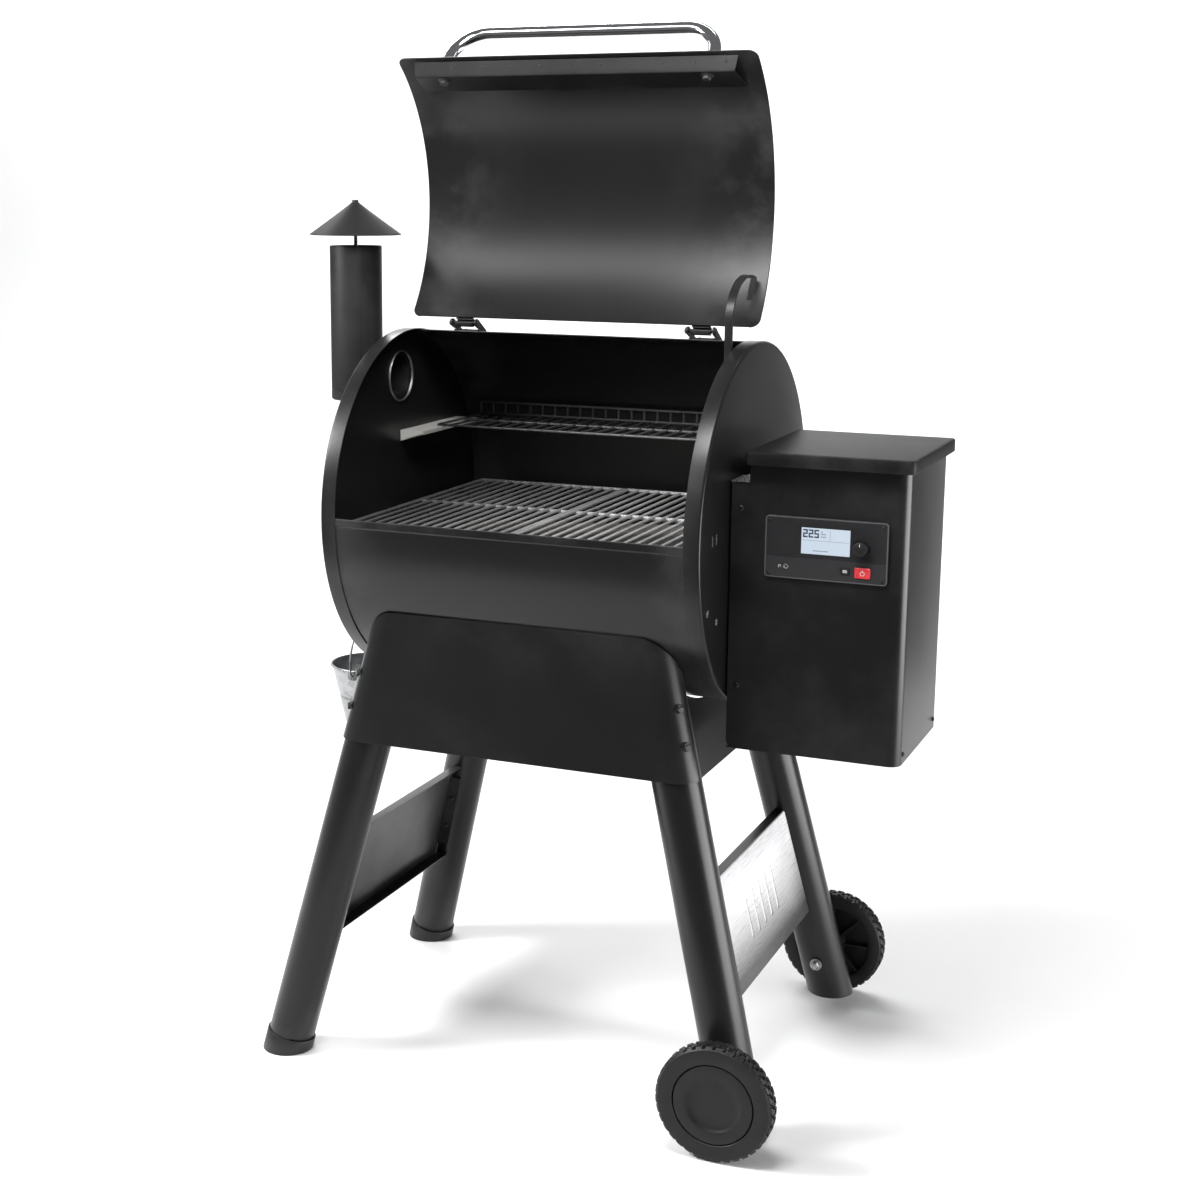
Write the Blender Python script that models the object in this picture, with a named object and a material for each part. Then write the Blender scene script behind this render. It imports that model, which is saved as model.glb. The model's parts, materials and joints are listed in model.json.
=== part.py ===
"""Pellet smoker grill: barrel cooker on four splayed legs with a pellet hopper at its right end.

Metres, +Z up, front towards -Y, hopper end towards +X, floor at Z = 0.
Every length below is measured from the middle of the barrel; the parent empty GRILL_FRAME then
moves the whole grill sideways so that the origin is the middle of its footprint box.
"""
import math

import bmesh
import bpy
from mathutils import Matrix, Vector

# ---- overall placing ---------------------------------------------------------------------------
BARREL_X = -0.0606          # barrel middle, so that the whole grill is centred on the origin
AXIS_Z = 0.8734             # barrel axis above the floor
GAP = 0.0004                # clearance kept between touching pieces
SHEET = 0.0015              # common sheet thickness

# ---- barrel ------------------------------------------------------------------------------------
BARREL_HALF = 0.302         # half length over the end caps
CAP_R = 0.274               # outside of the end cap skirt
SKIRT = 0.025               # width of the skirt that wraps the shell
SHELL_R = CAP_R - SHEET - GAP
LIP_ANGLE = 178.9           # front edge of the opening, degrees round the axis from +Y
REAR_ANGLE = 84.8           # rear edge of the opening
ROUND = 64                  # facets round a large circle
DRAIN_R = 0.014             # drain pipe in the left end
DRAIN_Z = 0.640

# ---- lid ---------------------------------------------------------------------------------------
LID_R = CAP_R + 0.001       # inside of the closed lid
LID_SHEET = 0.002
LID_HALF = 0.290
LID_FRONT = 180.0           # front edge of the closed lid, degrees round the axis
LID_REAR = 86.4
LID_CORNER = 0.014          # corner radius of the plate
LID_BEND = 4                # facets round each corner
STRIP_SHEET = 0.0012        # stiffener strip
HANDLE_ANGLE = 175.0        # where the handle stands, degrees round the axis
HANDLE_HALF = 0.216
HANDLE_RISE = 0.0715
HANDLE_BEND = 0.055
HANDLE_R = 0.010
ARM_X0, ARM_X1 = 0.262, 0.274
ARM_THICK = 0.003
HINGE_X = 0.199
HINGE_HALF = 0.022
LEAF_HALF = 0.010
LEAF_SHEET = 0.0016
CHEEK = 0.003
PIN_R = 0.003
HINGE_Y = 0.0218
HINGE_Z = 1.1578
LID_OPEN = 126.4            # degrees from closed to the open stop

# ---- legs --------------------------------------------------------------------------------------
LEG_R = 0.037
LEG_WALL = 0.0018
LEG_FOOT = Vector((0.385, 0.261, 0.0))      # leg axis where it meets the floor
LEG_SLOPE = Vector((-0.25, -0.0892, 1.0))   # leg axis direction, per metre of height
WHEEL_R = 0.088
WHEEL_W = 0.031
WHEEL_OUT = 0.3455          # outer face of each wheel from the middle plane
WHEEL_X = LEG_FOOT.x + LEG_SLOPE.x * WHEEL_R
WHEEL_WEB = 0.012           # from the outer face to the web behind the hub cap
WHEEL_BOSS = 0.0528         # from the outer face to the inner end of the boss
AXLE_R = 0.006
AXLE_END = 0.2020           # inner end of each axle bolt from the middle plane
LEG_SIDES = 28
LEG_LOW_LEFT, LEG_LOW_RIGHT = 0.0040, 0.0270
SHOE_H = 0.028              # height of the plastic shoe along the leg
APRON_LOW = 0.527
SIDE_PANEL_LOW = 0.497
BRACE_LOW, BRACE_HIGH, BRACE_OUT = 0.181, 0.357, 0.010
BRACE_SHEET = 0.0018
BRACE_SLOTS, SLOT_PITCH, SLOT_HALF = 5, 0.034, 0.005
SLOT_Z0, SLOT_Z1 = 0.235, 0.305

# ---- cooking surfaces and fire -----------------------------------------------------------------
GRATE_Z = 0.8660
GRATE_THICK = 0.0050
GRATE_HALF = 0.238
GRATE_BARS = 15
RACK_Z = 0.9835
RACK_Y0, RACK_Y1 = 0.060, 0.230
RACK_BARS = 24
RACK_ROD = 0.004
FENCE_H = 0.026
BRACKET_DEEP, BRACKET_REACH = 0.018, 0.041
TRAY_X, TRAY_Z, TRAY_FALL = 0.288, 0.7850, 0.030
TRAY_HALF, TRAY_EDGE = 0.218, 0.014
BAFFLE_HALF, BAFFLE_TOP, BAFFLE_FOOT, BAFFLE_SHEET = 0.150, 0.130, 0.165, 0.002
POT_HALF, POT_Z0, POT_Z1, POT_WALL = 0.048, 0.6085, 0.694, 0.0025
IGNITER_Z, IGNITER_R = 0.6190, 0.0050
AUGER_Z = 0.655
AUGER_TUBE_R = 0.028
AUGER_START, AUGER_END = 0.058, 0.430
AUGER_SHAFT, AUGER_BLADE, AUGER_TURNS = 0.0065, 0.0225, 8
MOTOR_X0, MOTOR_X1, MOTOR_Y, MOTOR_Z = 0.4405, 0.535, 0.038, 0.034
FAN_X0, FAN_X1, FAN_Y, FAN_Z, FAN_R = 0.318, 0.366, 0.058, 0.602, 0.036
FAN_BLADES = 6

# ---- hopper ------------------------------------------------------------------------------------
HOP_X0, HOP_X1 = 0.305, 0.564
HOP_Y0, HOP_Y1 = -0.1405, 0.103
HOP_Z0, HOP_Z1 = 0.557, 1.0013
HOP_LID_X0, HOP_LID_X1 = 0.3295, 0.5737
HOP_LID_Y0, HOP_LID_Y1 = -0.161, 0.118
HOP_LID_Z0, HOP_LID_Z1 = 0.9846, 1.0041
HOP_FRONT_R, HOP_REAR_R = 0.008, 0.006      # upright corners at the right
HOP_LOW_R = 0.014                           # lower left corner of the front sheet
HOP_NOTCH_Z = 0.9570                        # the housing is lower than this beside the barrel
HOP_LID_R, HOP_LID_SHEET = 0.008, 0.0018
BIN_SHEET = 0.0012

# ---- controller --------------------------------------------------------------------------------
BEZEL_X0, BEZEL_X1 = 0.358, 0.537
BEZEL_Z0, BEZEL_Z1 = 0.822, 0.912
BEZEL_R = 0.004
FACE_Y = HOP_Y0 - 0.0052
SCREEN_BOX = (0.4110, 0.8595, 0.4820, 0.8975)
MENU_BOX = (0.4700, 0.8345, 0.4830, 0.8425)
IGNITE_BOX = (0.4905, 0.8305, 0.5130, 0.8455)
BUTTON_TRAVEL = 0.0012
KNOB_AT, KNOB_R = (0.4992, 0.8740), 0.0111
KNOB_PROUD, KNOB_SHAFT = 0.0140, 0.0038

# ---- chimney -----------------------------------------------------------------------------------
CHIMNEY_X, CHIMNEY_Y = -0.379, -0.009
CHIMNEY_R = 0.042
CHIMNEY_Z0, CHIMNEY_Z1 = 1.030, 1.2775
FLUE_Z = 1.071
FLUE_R = 0.040
ELBOW_Z = FLUE_Z + 0.004
ELBOW_R = 0.034
CAP_RIM_R, CAP_RIM_Z, CAP_TOP_Z = 0.0735, 1.2965, 1.3445
STUD_R = 0.003

# ---- bucket ------------------------------------------------------------------------------------
BUCKET_X = -0.362
BUCKET_RIM_Z = 0.586
BUCKET_TOP_R, BUCKET_LOW_R = 0.068, 0.041
BUCKET_H = 0.122
EAR_Z = BUCKET_RIM_Z - 0.0085
BAIL_R, BAIL_REACH = 0.0018, 0.0768

for old in list(bpy.data.objects):
    bpy.data.objects.remove(old, do_unlink=True)

GRILL_FRAME = bpy.data.objects.new("grill_frame", None)
bpy.context.scene.collection.objects.link(GRILL_FRAME)
GRILL_FRAME.location = (BARREL_X, 0.0, 0.0)


# ---- small tools -------------------------------------------------------------------------------
def paint(name, color, roughness, metallic=0.0, glow=0.0):
    mat = bpy.data.materials.new(name)
    mat.use_nodes = True
    shader = mat.node_tree.nodes["Principled BSDF"]
    shader.inputs["Base Color"].default_value = (*color, 1.0)
    shader.inputs["Roughness"].default_value = roughness
    shader.inputs["Metallic"].default_value = metallic
    shader.inputs["Emission Color"].default_value = (*color, 1.0)
    shader.inputs["Emission Strength"].default_value = glow
    return mat


BLACK_COAT = paint("black_powder_coat", (0.022, 0.022, 0.024), 0.42)
ENAMEL = paint("black_enamel", (0.012, 0.012, 0.013), 0.28)
CHROME = paint("polished_stainless", (0.82, 0.82, 0.83), 0.10, 1.0)
GALVANIZED = paint("galvanized_steel", (0.62, 0.63, 0.64), 0.34, 1.0)
SATIN_PANEL = paint("satin_black_panel", (0.05, 0.05, 0.052), 0.30, 0.6)
PLASTIC = paint("black_plastic", (0.03, 0.03, 0.032), 0.5)
WHEEL_PLASTIC = paint("wheel_plastic", (0.045, 0.045, 0.048), 0.55)
RED_PLASTIC = paint("red_plastic", (0.55, 0.02, 0.03), 0.35)
SCREEN = paint("backlit_screen", (0.72, 0.82, 0.92), 0.15, 0.0, 0.6)
RAW_STEEL = paint("raw_steel", (0.33, 0.32, 0.31), 0.45, 1.0)


def add(name, bm, mat, pivot=(0, 0, 0), parent=None):
    """Make one named object from a bmesh whose origin is moved onto pivot."""
    pivot = Vector(pivot)
    bmesh.ops.translate(bm, verts=bm.verts[:], vec=-pivot)
    bmesh.ops.recalc_face_normals(bm, faces=bm.faces[:])
    mesh = bpy.data.meshes.new(name)
    bm.to_mesh(mesh)
    bm.free()
    mesh.shade_smooth()
    mesh.set_sharp_from_angle(angle=math.radians(35.0))
    mesh.materials.append(mat)
    obj = bpy.data.objects.new(name, mesh)
    bpy.context.scene.collection.objects.link(obj)
    obj.parent = parent or GRILL_FRAME
    obj.location = pivot
    return obj


def polar(radius, degrees):
    """A (y, z) point round the barrel axis, degrees from +Y towards +Z."""
    a = math.radians(degrees)
    return radius * math.cos(a), AXIS_Z + radius * math.sin(a)


def steps(start, end, count):
    return [start + (end - start) * i / count for i in range(count + 1)]


def arc(cx, cy, radius, start, end, count):
    """Points of an arc in a flat outline, angles in degrees."""
    return [(cx + radius * math.cos(math.radians(a)), cy + radius * math.sin(math.radians(a)))
            for a in steps(start, end, count)]


def box(bm, low, high):
    """Add a plain block between two corners."""
    size = [h - l for l, h in zip(low, high)]
    middle = [(h + l) / 2 for l, h in zip(low, high)]
    place = Matrix.Translation(middle) @ Matrix.Diagonal((*size, 1.0))
    return bmesh.ops.create_cube(bm, size=1.0, matrix=place)["verts"]


def prism(outline, low, high, axis):
    """Extrude a flat outline along an axis; the outline's two numbers fill the other two axes."""
    bm = bmesh.new()

    def point(u, v, w):
        return {"x": (w, u, v), "y": (u, w, v), "z": (u, v, w)}[axis]

    rings = [[bm.verts.new(point(u, v, w)) for u, v in outline] for w in (low, high)]
    bm.faces.new(rings[0])
    bm.faces.new(rings[1])
    for i in range(len(outline)):
        j = (i + 1) % len(outline)
        bm.faces.new((rings[0][i], rings[0][j], rings[1][j], rings[1][i]))
    return bm


def turned(profile, centre, axis, sides=ROUND, closed=True):
    """Turn (radius, along) points about an axis; a closed profile makes a ring shape."""
    bm = bmesh.new()
    turn = {"x": Matrix.Rotation(math.pi / 2, 4, "Y"), "y": Matrix.Rotation(-math.pi / 2, 4, "X"),
            "z": Matrix.Identity(4)}[axis]
    place = Matrix.Translation(centre) @ turn
    rings = []
    for radius, along in profile:
        if radius == 0:
            rings.append([bm.verts.new(place @ Vector((0, 0, along)))])
            continue
        angles = [2 * math.pi * k / sides for k in range(sides)]
        points = [(radius * math.cos(t), radius * math.sin(t), along) for t in angles]
        rings.append([bm.verts.new(place @ Vector(point)) for point in points])
    pairs = list(zip(rings, rings[1:]))
    if closed:
        pairs.append((rings[-1], rings[0]))
    for one, two in pairs:
        for k in range(sides):
            n = (k + 1) % sides
            corners = [one[k % len(one)], one[n % len(one)], two[n % len(two)], two[k % len(two)]]
            unique = list(dict.fromkeys(corners))
            if len(unique) > 2:
                bm.faces.new(unique)
    return bm


def swept(points, radius, sides=10):
    """A round bar along a smooth list of points, with flat ends."""
    bm = bmesh.new()
    points = [Vector(p) for p in points]
    across = (points[1] - points[0]).orthogonal().normalized()
    rings = []
    for i, here in enumerate(points):
        ahead = points[min(i + 1, len(points) - 1)] - points[max(i - 1, 0)]
        ahead.normalize()
        across = (across - ahead * across.dot(ahead)).normalized()
        other = ahead.cross(across)
        rings.append([bm.verts.new(here + radius * (math.cos(t) * across + math.sin(t) * other))
                      for t in (2 * math.pi * k / sides for k in range(sides))])
    for one, two in zip(rings, rings[1:]):
        for k in range(sides):
            n = (k + 1) % sides
            bm.faces.new((one[k], one[n], two[n], two[k]))
    bm.faces.new(rings[0])
    bm.faces.new(rings[-1])
    return bm


def skin(rows):
    """Close a sheet given as rows of (side A corners, side B corners), each row one pair of lists."""
    bm = bmesh.new()
    grid = [[[bm.verts.new(p) for p in side] for side in row] for row in rows]
    columns = len(grid[0][0])
    for one, two in zip(grid, grid[1:]):
        for side in (0, 1):
            for k in range(columns - 1):
                bm.faces.new((one[side][k], one[side][k + 1], two[side][k + 1], two[side][k]))
        for k in (0, columns - 1):
            bm.faces.new((one[0][k], one[1][k], two[1][k], two[0][k]))
    for row in (grid[0], grid[-1]):
        for k in range(columns - 1):
            bm.faces.new((row[0][k], row[0][k + 1], row[1][k + 1], row[1][k]))
    return bm


def offset_line(points, distance):
    """Shift an open (y, z) line sideways by a distance, with mitred corners."""
    moved = []
    for i, here in enumerate(points):
        normals = []
        for a, b in ((i - 1, i), (i, i + 1)):
            if a >= 0 and b < len(points):
                run = Vector((points[b][0] - points[a][0], points[b][1] - points[a][1])).normalized()
                normals.append(Vector((-run.y, run.x)))
        middle = sum(normals, Vector((0, 0))).normalized()
        reach = distance / middle.dot(normals[0])
        moved.append((here[0] + middle.x * reach, here[1] + middle.y * reach))
    return moved


def bent_sheet(line, thickness, half_widths):
    """A sheet bent along an open (y, z) line and spread along X; half width per point of the line."""
    if not isinstance(half_widths, list):
        half_widths = [half_widths] * len(line)
    back = offset_line(line, thickness)
    rows = []
    for (y, z), (by, bz), w in zip(line, back, half_widths):
        rows.append(([(-w, y, z), (w, y, z)], [(-w, by, bz), (w, by, bz)]))
    return skin(rows)


def strip(line, thickness, x0, x1):
    """A sheet bent along an open (y, z) line between two stations of X."""
    rows = []
    for (y, z), (by, bz) in zip(line, offset_line(line, thickness)):
        rows.append(([(x0, y, z), (x1, y, z)], [(x0, by, bz), (x1, by, bz)]))
    return skin(rows)


def lattice(xs, sections, filled):
    """A slotted sheet: cells between the x stations and the section lines, solid where filled."""
    bm = bmesh.new()
    verts = {}

    def vert(i, j, side):
        key = (i, j, side)
        if key not in verts:
            y, z = sections[j][side]
            verts[key] = bm.verts.new((xs[i], y, z))
        return verts[key]

    columns, rows = len(xs) - 1, len(sections) - 1

    def solid(i, j):
        return 0 <= i < columns and 0 <= j < rows and filled(i, j)

    for i in range(columns):
        for j in range(rows):
            if not solid(i, j):
                continue
            for side in (0, 1):
                bm.faces.new([vert(a, b, side) for a, b in ((i, j), (i + 1, j), (i + 1, j + 1), (i, j + 1))])
            edges = {(-1, 0): ((i, j), (i, j + 1)), (1, 0): ((i + 1, j), (i + 1, j + 1)),
                     (0, -1): ((i, j), (i + 1, j)), (0, 1): ((i, j + 1), (i + 1, j + 1))}
            for (di, dj), (a, b) in edges.items():
                if not solid(i + di, j + dj):
                    bm.faces.new((vert(*a, 0), vert(*b, 0), vert(*b, 1), vert(*a, 1)))
    return bm


def cutter(name, bm):
    obj = add(name, bm, RAW_STEEL)
    obj.hide_render = True
    obj.display_type = "WIRE"
    return obj


def cut(obj, name, bm, operation="DIFFERENCE"):
    """Cut an object with a hidden guide solid."""
    tool = cutter(name, bm)
    change = obj.modifiers.new(name, "BOOLEAN")
    change.operation = operation
    change.solver = "EXACT"
    change.object = tool


def rod_along(axis, centre, radius, low, high, sides=20):
    return turned([(0, low), (radius, low), (radius, high), (0, high)], centre, axis, sides, closed=False)


# ---- barrel ------------------------------------------------------------------------------------
def barrel_shell():
    """Open barrel: from the front lip, under the grill and up to the rear edge of the opening."""
    line = [polar(SHELL_R, a) for a in steps(LIP_ANGLE, REAR_ANGLE + 360.0, 56)]
    half = BARREL_HALF - SHEET - GAP
    add("barrel_shell", bent_sheet(line, SHEET, half), BLACK_COAT)


def end_cap(name, side):
    """Round end plate with a skirt that wraps the shell."""
    face, inner = BARREL_HALF, BARREL_HALF - SHEET
    rim = BARREL_HALF - SKIRT
    profile = [(0, face), (CAP_R - 0.004, face), (CAP_R - 0.0012, face - 0.0012), (CAP_R, face - 0.004),
               (CAP_R, rim), (CAP_R - SHEET, rim), (CAP_R - SHEET, inner), (0, inner)]
    bm = turned([(r, side * x) for r, x in profile], (0, 0, AXIS_Z), "x", ROUND, closed=False)
    return add(name, bm, BLACK_COAT)


def end_caps():
    left = end_cap("end_cap_left", -1)
    cut(left, "cut_flue", rod_along("x", (0, CHIMNEY_Y, FLUE_Z), FLUE_R + GAP, -0.32, -0.28, 32))
    cut(left, "cut_drain", rod_along("x", (0, 0, DRAIN_Z), DRAIN_R + GAP, -0.32, -0.28, 20))
    right = end_cap("end_cap_right", 1)
    cut(right, "cut_auger", rod_along("x", (0, 0, AUGER_Z), AUGER_TUBE_R + 0.0005, 0.28, 0.32, 24))


def drain_spout():
    """Short drain pipe out of the left end with an upturned tip that the bucket's bail hangs on."""
    start, tip = -0.296, BUCKET_X - 0.012
    bore = DRAIN_R - 0.0015
    groove, narrow = DRAIN_R - 0.003, DRAIN_R - 0.004
    profile = [(bore, start), (DRAIN_R, start), (DRAIN_R, BUCKET_X + 0.004), (groove, BUCKET_X + 0.003),
               (groove, BUCKET_X - 0.003), (DRAIN_R, BUCKET_X - 0.004), (DRAIN_R, tip), (narrow, tip),
               (narrow, BUCKET_X + 0.006), (bore, BUCKET_X + 0.010)]
    add("drain_spout", turned(profile, (0, 0, DRAIN_Z), "x", 20), GALVANIZED)


def grate_ledges():
    """Angle strips along the front and rear of the barrel that carry the main grates."""
    reach, deep, half = 0.038, 0.016, 0.270
    top = GRATE_Z - GAP
    for name, side in (("grate_ledge_front", -1), ("grate_ledge_rear", 1)):
        wall = side * (math.sqrt((SHELL_R - SHEET) ** 2 - 0.022 ** 2) - 0.0014)
        line = [(wall - side * (reach - 0.001), top), (wall, top), (wall, GRATE_Z - deep)]
        add(name, bent_sheet(line, -side * SHEET, half), BLACK_COAT)


# ---- lid (modelled closed, shown open by its hinge empty) -----------------------------------------
def lid_hinge_empty():
    empty = bpy.data.objects.new("lid_hinge_axis", None)
    bpy.context.scene.collection.objects.link(empty)
    empty.parent = GRILL_FRAME
    empty.location = (0.0, HINGE_Y, HINGE_Z)
    empty.rotation_euler = (-math.radians(LID_OPEN), 0.0, 0.0)
    return empty


def add_lid(name, bm, mat, empty):
    obj = add(name, bm, mat, (0.0, HINGE_Y, HINGE_Z), empty)
    obj.location = (0, 0, 0)
    return obj


def lid_shell(empty):
    """Curved lid plate with rounded corners."""
    turn = math.degrees(LID_CORNER / LID_R)
    quarter = steps(0.0, math.pi / 2, LID_BEND)
    corner = [(turn * (1 - math.cos(t)), LID_CORNER * (1 - math.sin(t))) for t in quarter]
    spread = [(LID_REAR + a, LID_HALF - inset) for a, inset in corner]
    spread += [(a, LID_HALF) for a in steps(LID_REAR + turn, LID_FRONT - turn, 26)[1:-1]]
    spread += [(LID_FRONT - a, LID_HALF - inset) for a, inset in reversed(corner)]
    line = [polar(LID_R, a) for a, _ in spread]
    add_lid("lid_shell", bent_sheet(line, -LID_SHEET, [w for _, w in spread]), BLACK_COAT, empty)


def lid_stiffener(empty):
    """Folded strip inside the lid's front edge."""
    inside = LID_R - 0.0008
    line = [polar(inside, LID_FRONT - 1.5), polar(LID_R - 0.021, LID_FRONT - 3.6),
            polar(LID_R - 0.0205, LID_FRONT - 4.2), polar(inside, LID_FRONT - 13.9)]
    halves = [0.262, 0.259, 0.259, 0.264]
    add_lid("lid_stiffener", bent_sheet(line, -STRIP_SHEET, halves), BLACK_COAT, empty)


def lid_handle(empty):
    """Bent tube handle whose two legs stand square on the lid."""
    foot = LID_R + LID_SHEET + GAP
    top = LID_R + LID_SHEET + HANDLE_RISE
    flat = [(-HANDLE_HALF, foot)]
    flat += arc(-HANDLE_HALF + HANDLE_BEND, top - HANDLE_BEND, HANDLE_BEND, 180, 90, 8)
    flat += arc(HANDLE_HALF - HANDLE_BEND, top - HANDLE_BEND, HANDLE_BEND, 90, 0, 8)
    flat += [(HANDLE_HALF, foot)]
    path = [(x, *polar(r, HANDLE_ANGLE)) for x, r in flat]
    add_lid("lid_handle", swept(path, HANDLE_R, 14), CHROME, empty)


def lid_stop_arm(empty):
    """Flat cane-shaped bar: its hook is fixed inside the lid, its tail drops into the barrel."""
    opened = [(-0.060, 1.1215), (-0.060, 1.1500), (-0.060, 1.1880)]
    opened += arc(0.010, 1.1880, 0.070, 180, 120, 5)[1:]
    opened += arc(0.0163, 1.1990, 0.0440, 100, 42, 5)
    turn = math.radians(LID_OPEN)
    line = []
    for y, z in opened:
        dy, dz = y - HINGE_Y, z - HINGE_Z
        line.append((HINGE_Y + dy * math.cos(turn) - dz * math.sin(turn),
                     HINGE_Z + dy * math.sin(turn) + dz * math.cos(turn)))
    add_lid("lid_stop_arm", strip(line, -ARM_THICK, ARM_X0, ARM_X1), BLACK_COAT, empty)


def hinge_leaf(name, x, empty):
    """Lid side of a hinge: a tab on the lid's rear edge rolled round the pin."""
    outside = LID_R + LID_SHEET + GAP
    line = [polar(outside, LID_REAR + 5.2), polar(outside, LID_REAR + 1.6)]
    line += arc(HINGE_Y, HINGE_Z, PIN_R + 0.0022, 230, -60, 10)
    add_lid(name, strip(line, LEAF_SHEET, x - LEAF_HALF, x + LEAF_HALF), BLACK_COAT, empty)


def hinge_base(name, x):
    """Barrel side of a hinge: a foot on the rear of the shell, two cheeks and the pin through them."""
    low, high = x - HINGE_HALF, x + HINGE_HALF
    outline = [(0.0270, 1.1483), (0.0150, 1.1540), (0.0150, 1.1600), (0.0200, 1.1645), (0.0262, 1.1620),
               (0.0560, 1.1440), (0.0560, 1.1415)]
    obj = add(name, prism(outline, low, low + CHEEK, "x"), BLACK_COAT)
    cut(obj, name + "_cheek", prism(outline, high - CHEEK, high, "x"), "UNION")
    foot = [polar(SHELL_R + 0.0006, a) for a in steps(78.2, 84.0, 2)]
    foot += [polar(SHELL_R + 0.0006 + CHEEK, a) for a in steps(84.0, 78.2, 2)]
    cut(obj, name + "_foot", prism(foot, low, high, "x"), "UNION")
    pin = rod_along("x", (0, HINGE_Y, HINGE_Z), PIN_R, low - 0.002, high + 0.002, 12)
    cut(obj, name + "_pin", pin, "UNION")


# ---- chimney -----------------------------------------------------------------------------------
def chimney():
    """Closed-bottom tube beside the barrel, joined to it by a flanged pipe."""
    bore, floor = CHIMNEY_R - SHEET, CHIMNEY_Z0 + SHEET
    profile = [(0, CHIMNEY_Z0), (CHIMNEY_R, CHIMNEY_Z0), (CHIMNEY_R, CHIMNEY_Z1), (bore, CHIMNEY_Z1),
               (bore, floor), (0, floor)]
    tube = add("chimney_tube", turned(profile, (CHIMNEY_X, CHIMNEY_Y, 0), "z", 40, closed=False), BLACK_COAT)
    mouth = rod_along("x", (0, CHIMNEY_Y, ELBOW_Z), ELBOW_R + GAP, CHIMNEY_X, -0.320, 28)
    cut(tube, "cut_chimney_mouth", mouth)
    start, flange, face = CHIMNEY_X + 0.030, -0.3060, -BARREL_HALF - GAP
    pipe = [(ELBOW_R - SHEET, start), (ELBOW_R, start), (ELBOW_R, flange), (FLUE_R + 0.008, flange),
            (FLUE_R + 0.008, face), (ELBOW_R - SHEET, face)]
    add("chimney_elbow", turned(pipe, (0, CHIMNEY_Y, ELBOW_Z), "x", 32), BLACK_COAT)


def chimney_top():
    """Threaded stud on a cross bar, and the conical cap that screws along it."""
    centre = (CHIMNEY_X, CHIMNEY_Y, 0)
    bar_z, bar_top, top = 1.246, 1.2515, 1.3465
    stud = add("chimney_stud", rod_along("z", centre, STUD_R, bar_z + 0.004, top, 10), GALVANIZED)
    span, half = CHIMNEY_R - SHEET - 0.0007, 0.007
    bar = bmesh.new()
    box(bar, (CHIMNEY_X - span, CHIMNEY_Y - half, bar_z), (CHIMNEY_X + span, CHIMNEY_Y + half, bar_top))
    cut(stud, "join_chimney_bar", bar, "UNION")
    hole, boss, sheet = STUD_R + GAP, 0.0085, 0.0017
    low, under = CAP_RIM_Z - SHEET, CAP_TOP_Z - sheet
    cone = [(hole, CAP_TOP_Z), (boss, CAP_TOP_Z), (CAP_RIM_R, CAP_RIM_Z), (CAP_RIM_R, low),
            (CAP_RIM_R - SHEET, low), (boss - 0.0005, under), (hole, under)]
    add("chimney_cap", turned(cone, centre, "z", 48), BLACK_COAT, (CHIMNEY_X, CHIMNEY_Y, CAP_RIM_Z))


# ---- legs and base -----------------------------------------------------------------------------
def leg_line(side_x, side_y):
    foot = Vector((side_x * LEG_FOOT.x, side_y * LEG_FOOT.y, 0.0))
    slope = Vector((side_x * LEG_SLOPE.x, side_y * LEG_SLOPE.y, 1.0))
    return foot, slope


def ring_point(side_x, side_y, radius, degrees):
    """Where a line along the leg, at this radius and heading, crosses the floor plane; and its slope."""
    foot, slope = leg_line(side_x, side_y)
    heading = Vector((math.cos(math.radians(degrees)), math.sin(math.radians(degrees)), 0.0))
    lean = heading.dot(slope.normalized())
    return foot + heading * (radius / math.sqrt(1.0 - lean * lean)), slope


def to_barrel(point, slope, gap):
    """Follow a line up the leg until it comes within a gap of the barrel."""
    reach = CAP_R + gap
    a = slope.y ** 2 + slope.z ** 2
    b = 2.0 * (point.y * slope.y + (point.z - AXIS_Z) * slope.z)
    c = point.y ** 2 + (point.z - AXIS_Z) ** 2 - reach ** 2
    t = (-b - math.sqrt(b * b - 4.0 * a * c)) / (2.0 * a)
    return point + slope * t


def leg(name, side_x, side_y, low):
    """Sloped tube, closed at its foot and cut to the barrel at its top."""
    bm = bmesh.new()
    rings = {}
    for key, radius, height in (("out", LEG_R, low), ("in", LEG_R - LEG_WALL, low + 0.002)):
        lower, upper = [], []
        for k in range(LEG_SIDES):
            start, slope = ring_point(side_x, side_y, radius, 360.0 * k / LEG_SIDES)
            lower.append(bm.verts.new(start + slope * height))
            upper.append(bm.verts.new(to_barrel(start, slope, 0.0012)))
        rings[key] = (lower, upper)
        bm.faces.new(lower)
    for k in range(LEG_SIDES):
        n = (k + 1) % LEG_SIDES
        for lower, upper in rings.values():
            bm.faces.new((lower[k], lower[n], upper[n], upper[k]))
        bm.faces.new((rings["out"][1][k], rings["out"][1][n], rings["in"][1][n], rings["in"][1][k]))
    obj = add(name, bm, BLACK_COAT)
    if side_x > 0:
        low_y, high_y = sorted((side_y * 0.200, side_y * 0.300))
        hole = rod_along("y", (WHEEL_X, 0, WHEEL_R), AXLE_R + GAP, low_y, high_y, 16)
        cut(obj, "cut_" + name, hole)
    return obj


def legs():
    for word_y, side_y in (("front", -1), ("rear", 1)):
        leg(f"leg_{word_y}_left", -1, side_y, LEG_LOW_LEFT)
        leg(f"leg_{word_y}_right", 1, side_y, LEG_LOW_RIGHT)
        foot_cap(f"foot_cap_{word_y}_left", -1, side_y)


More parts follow.
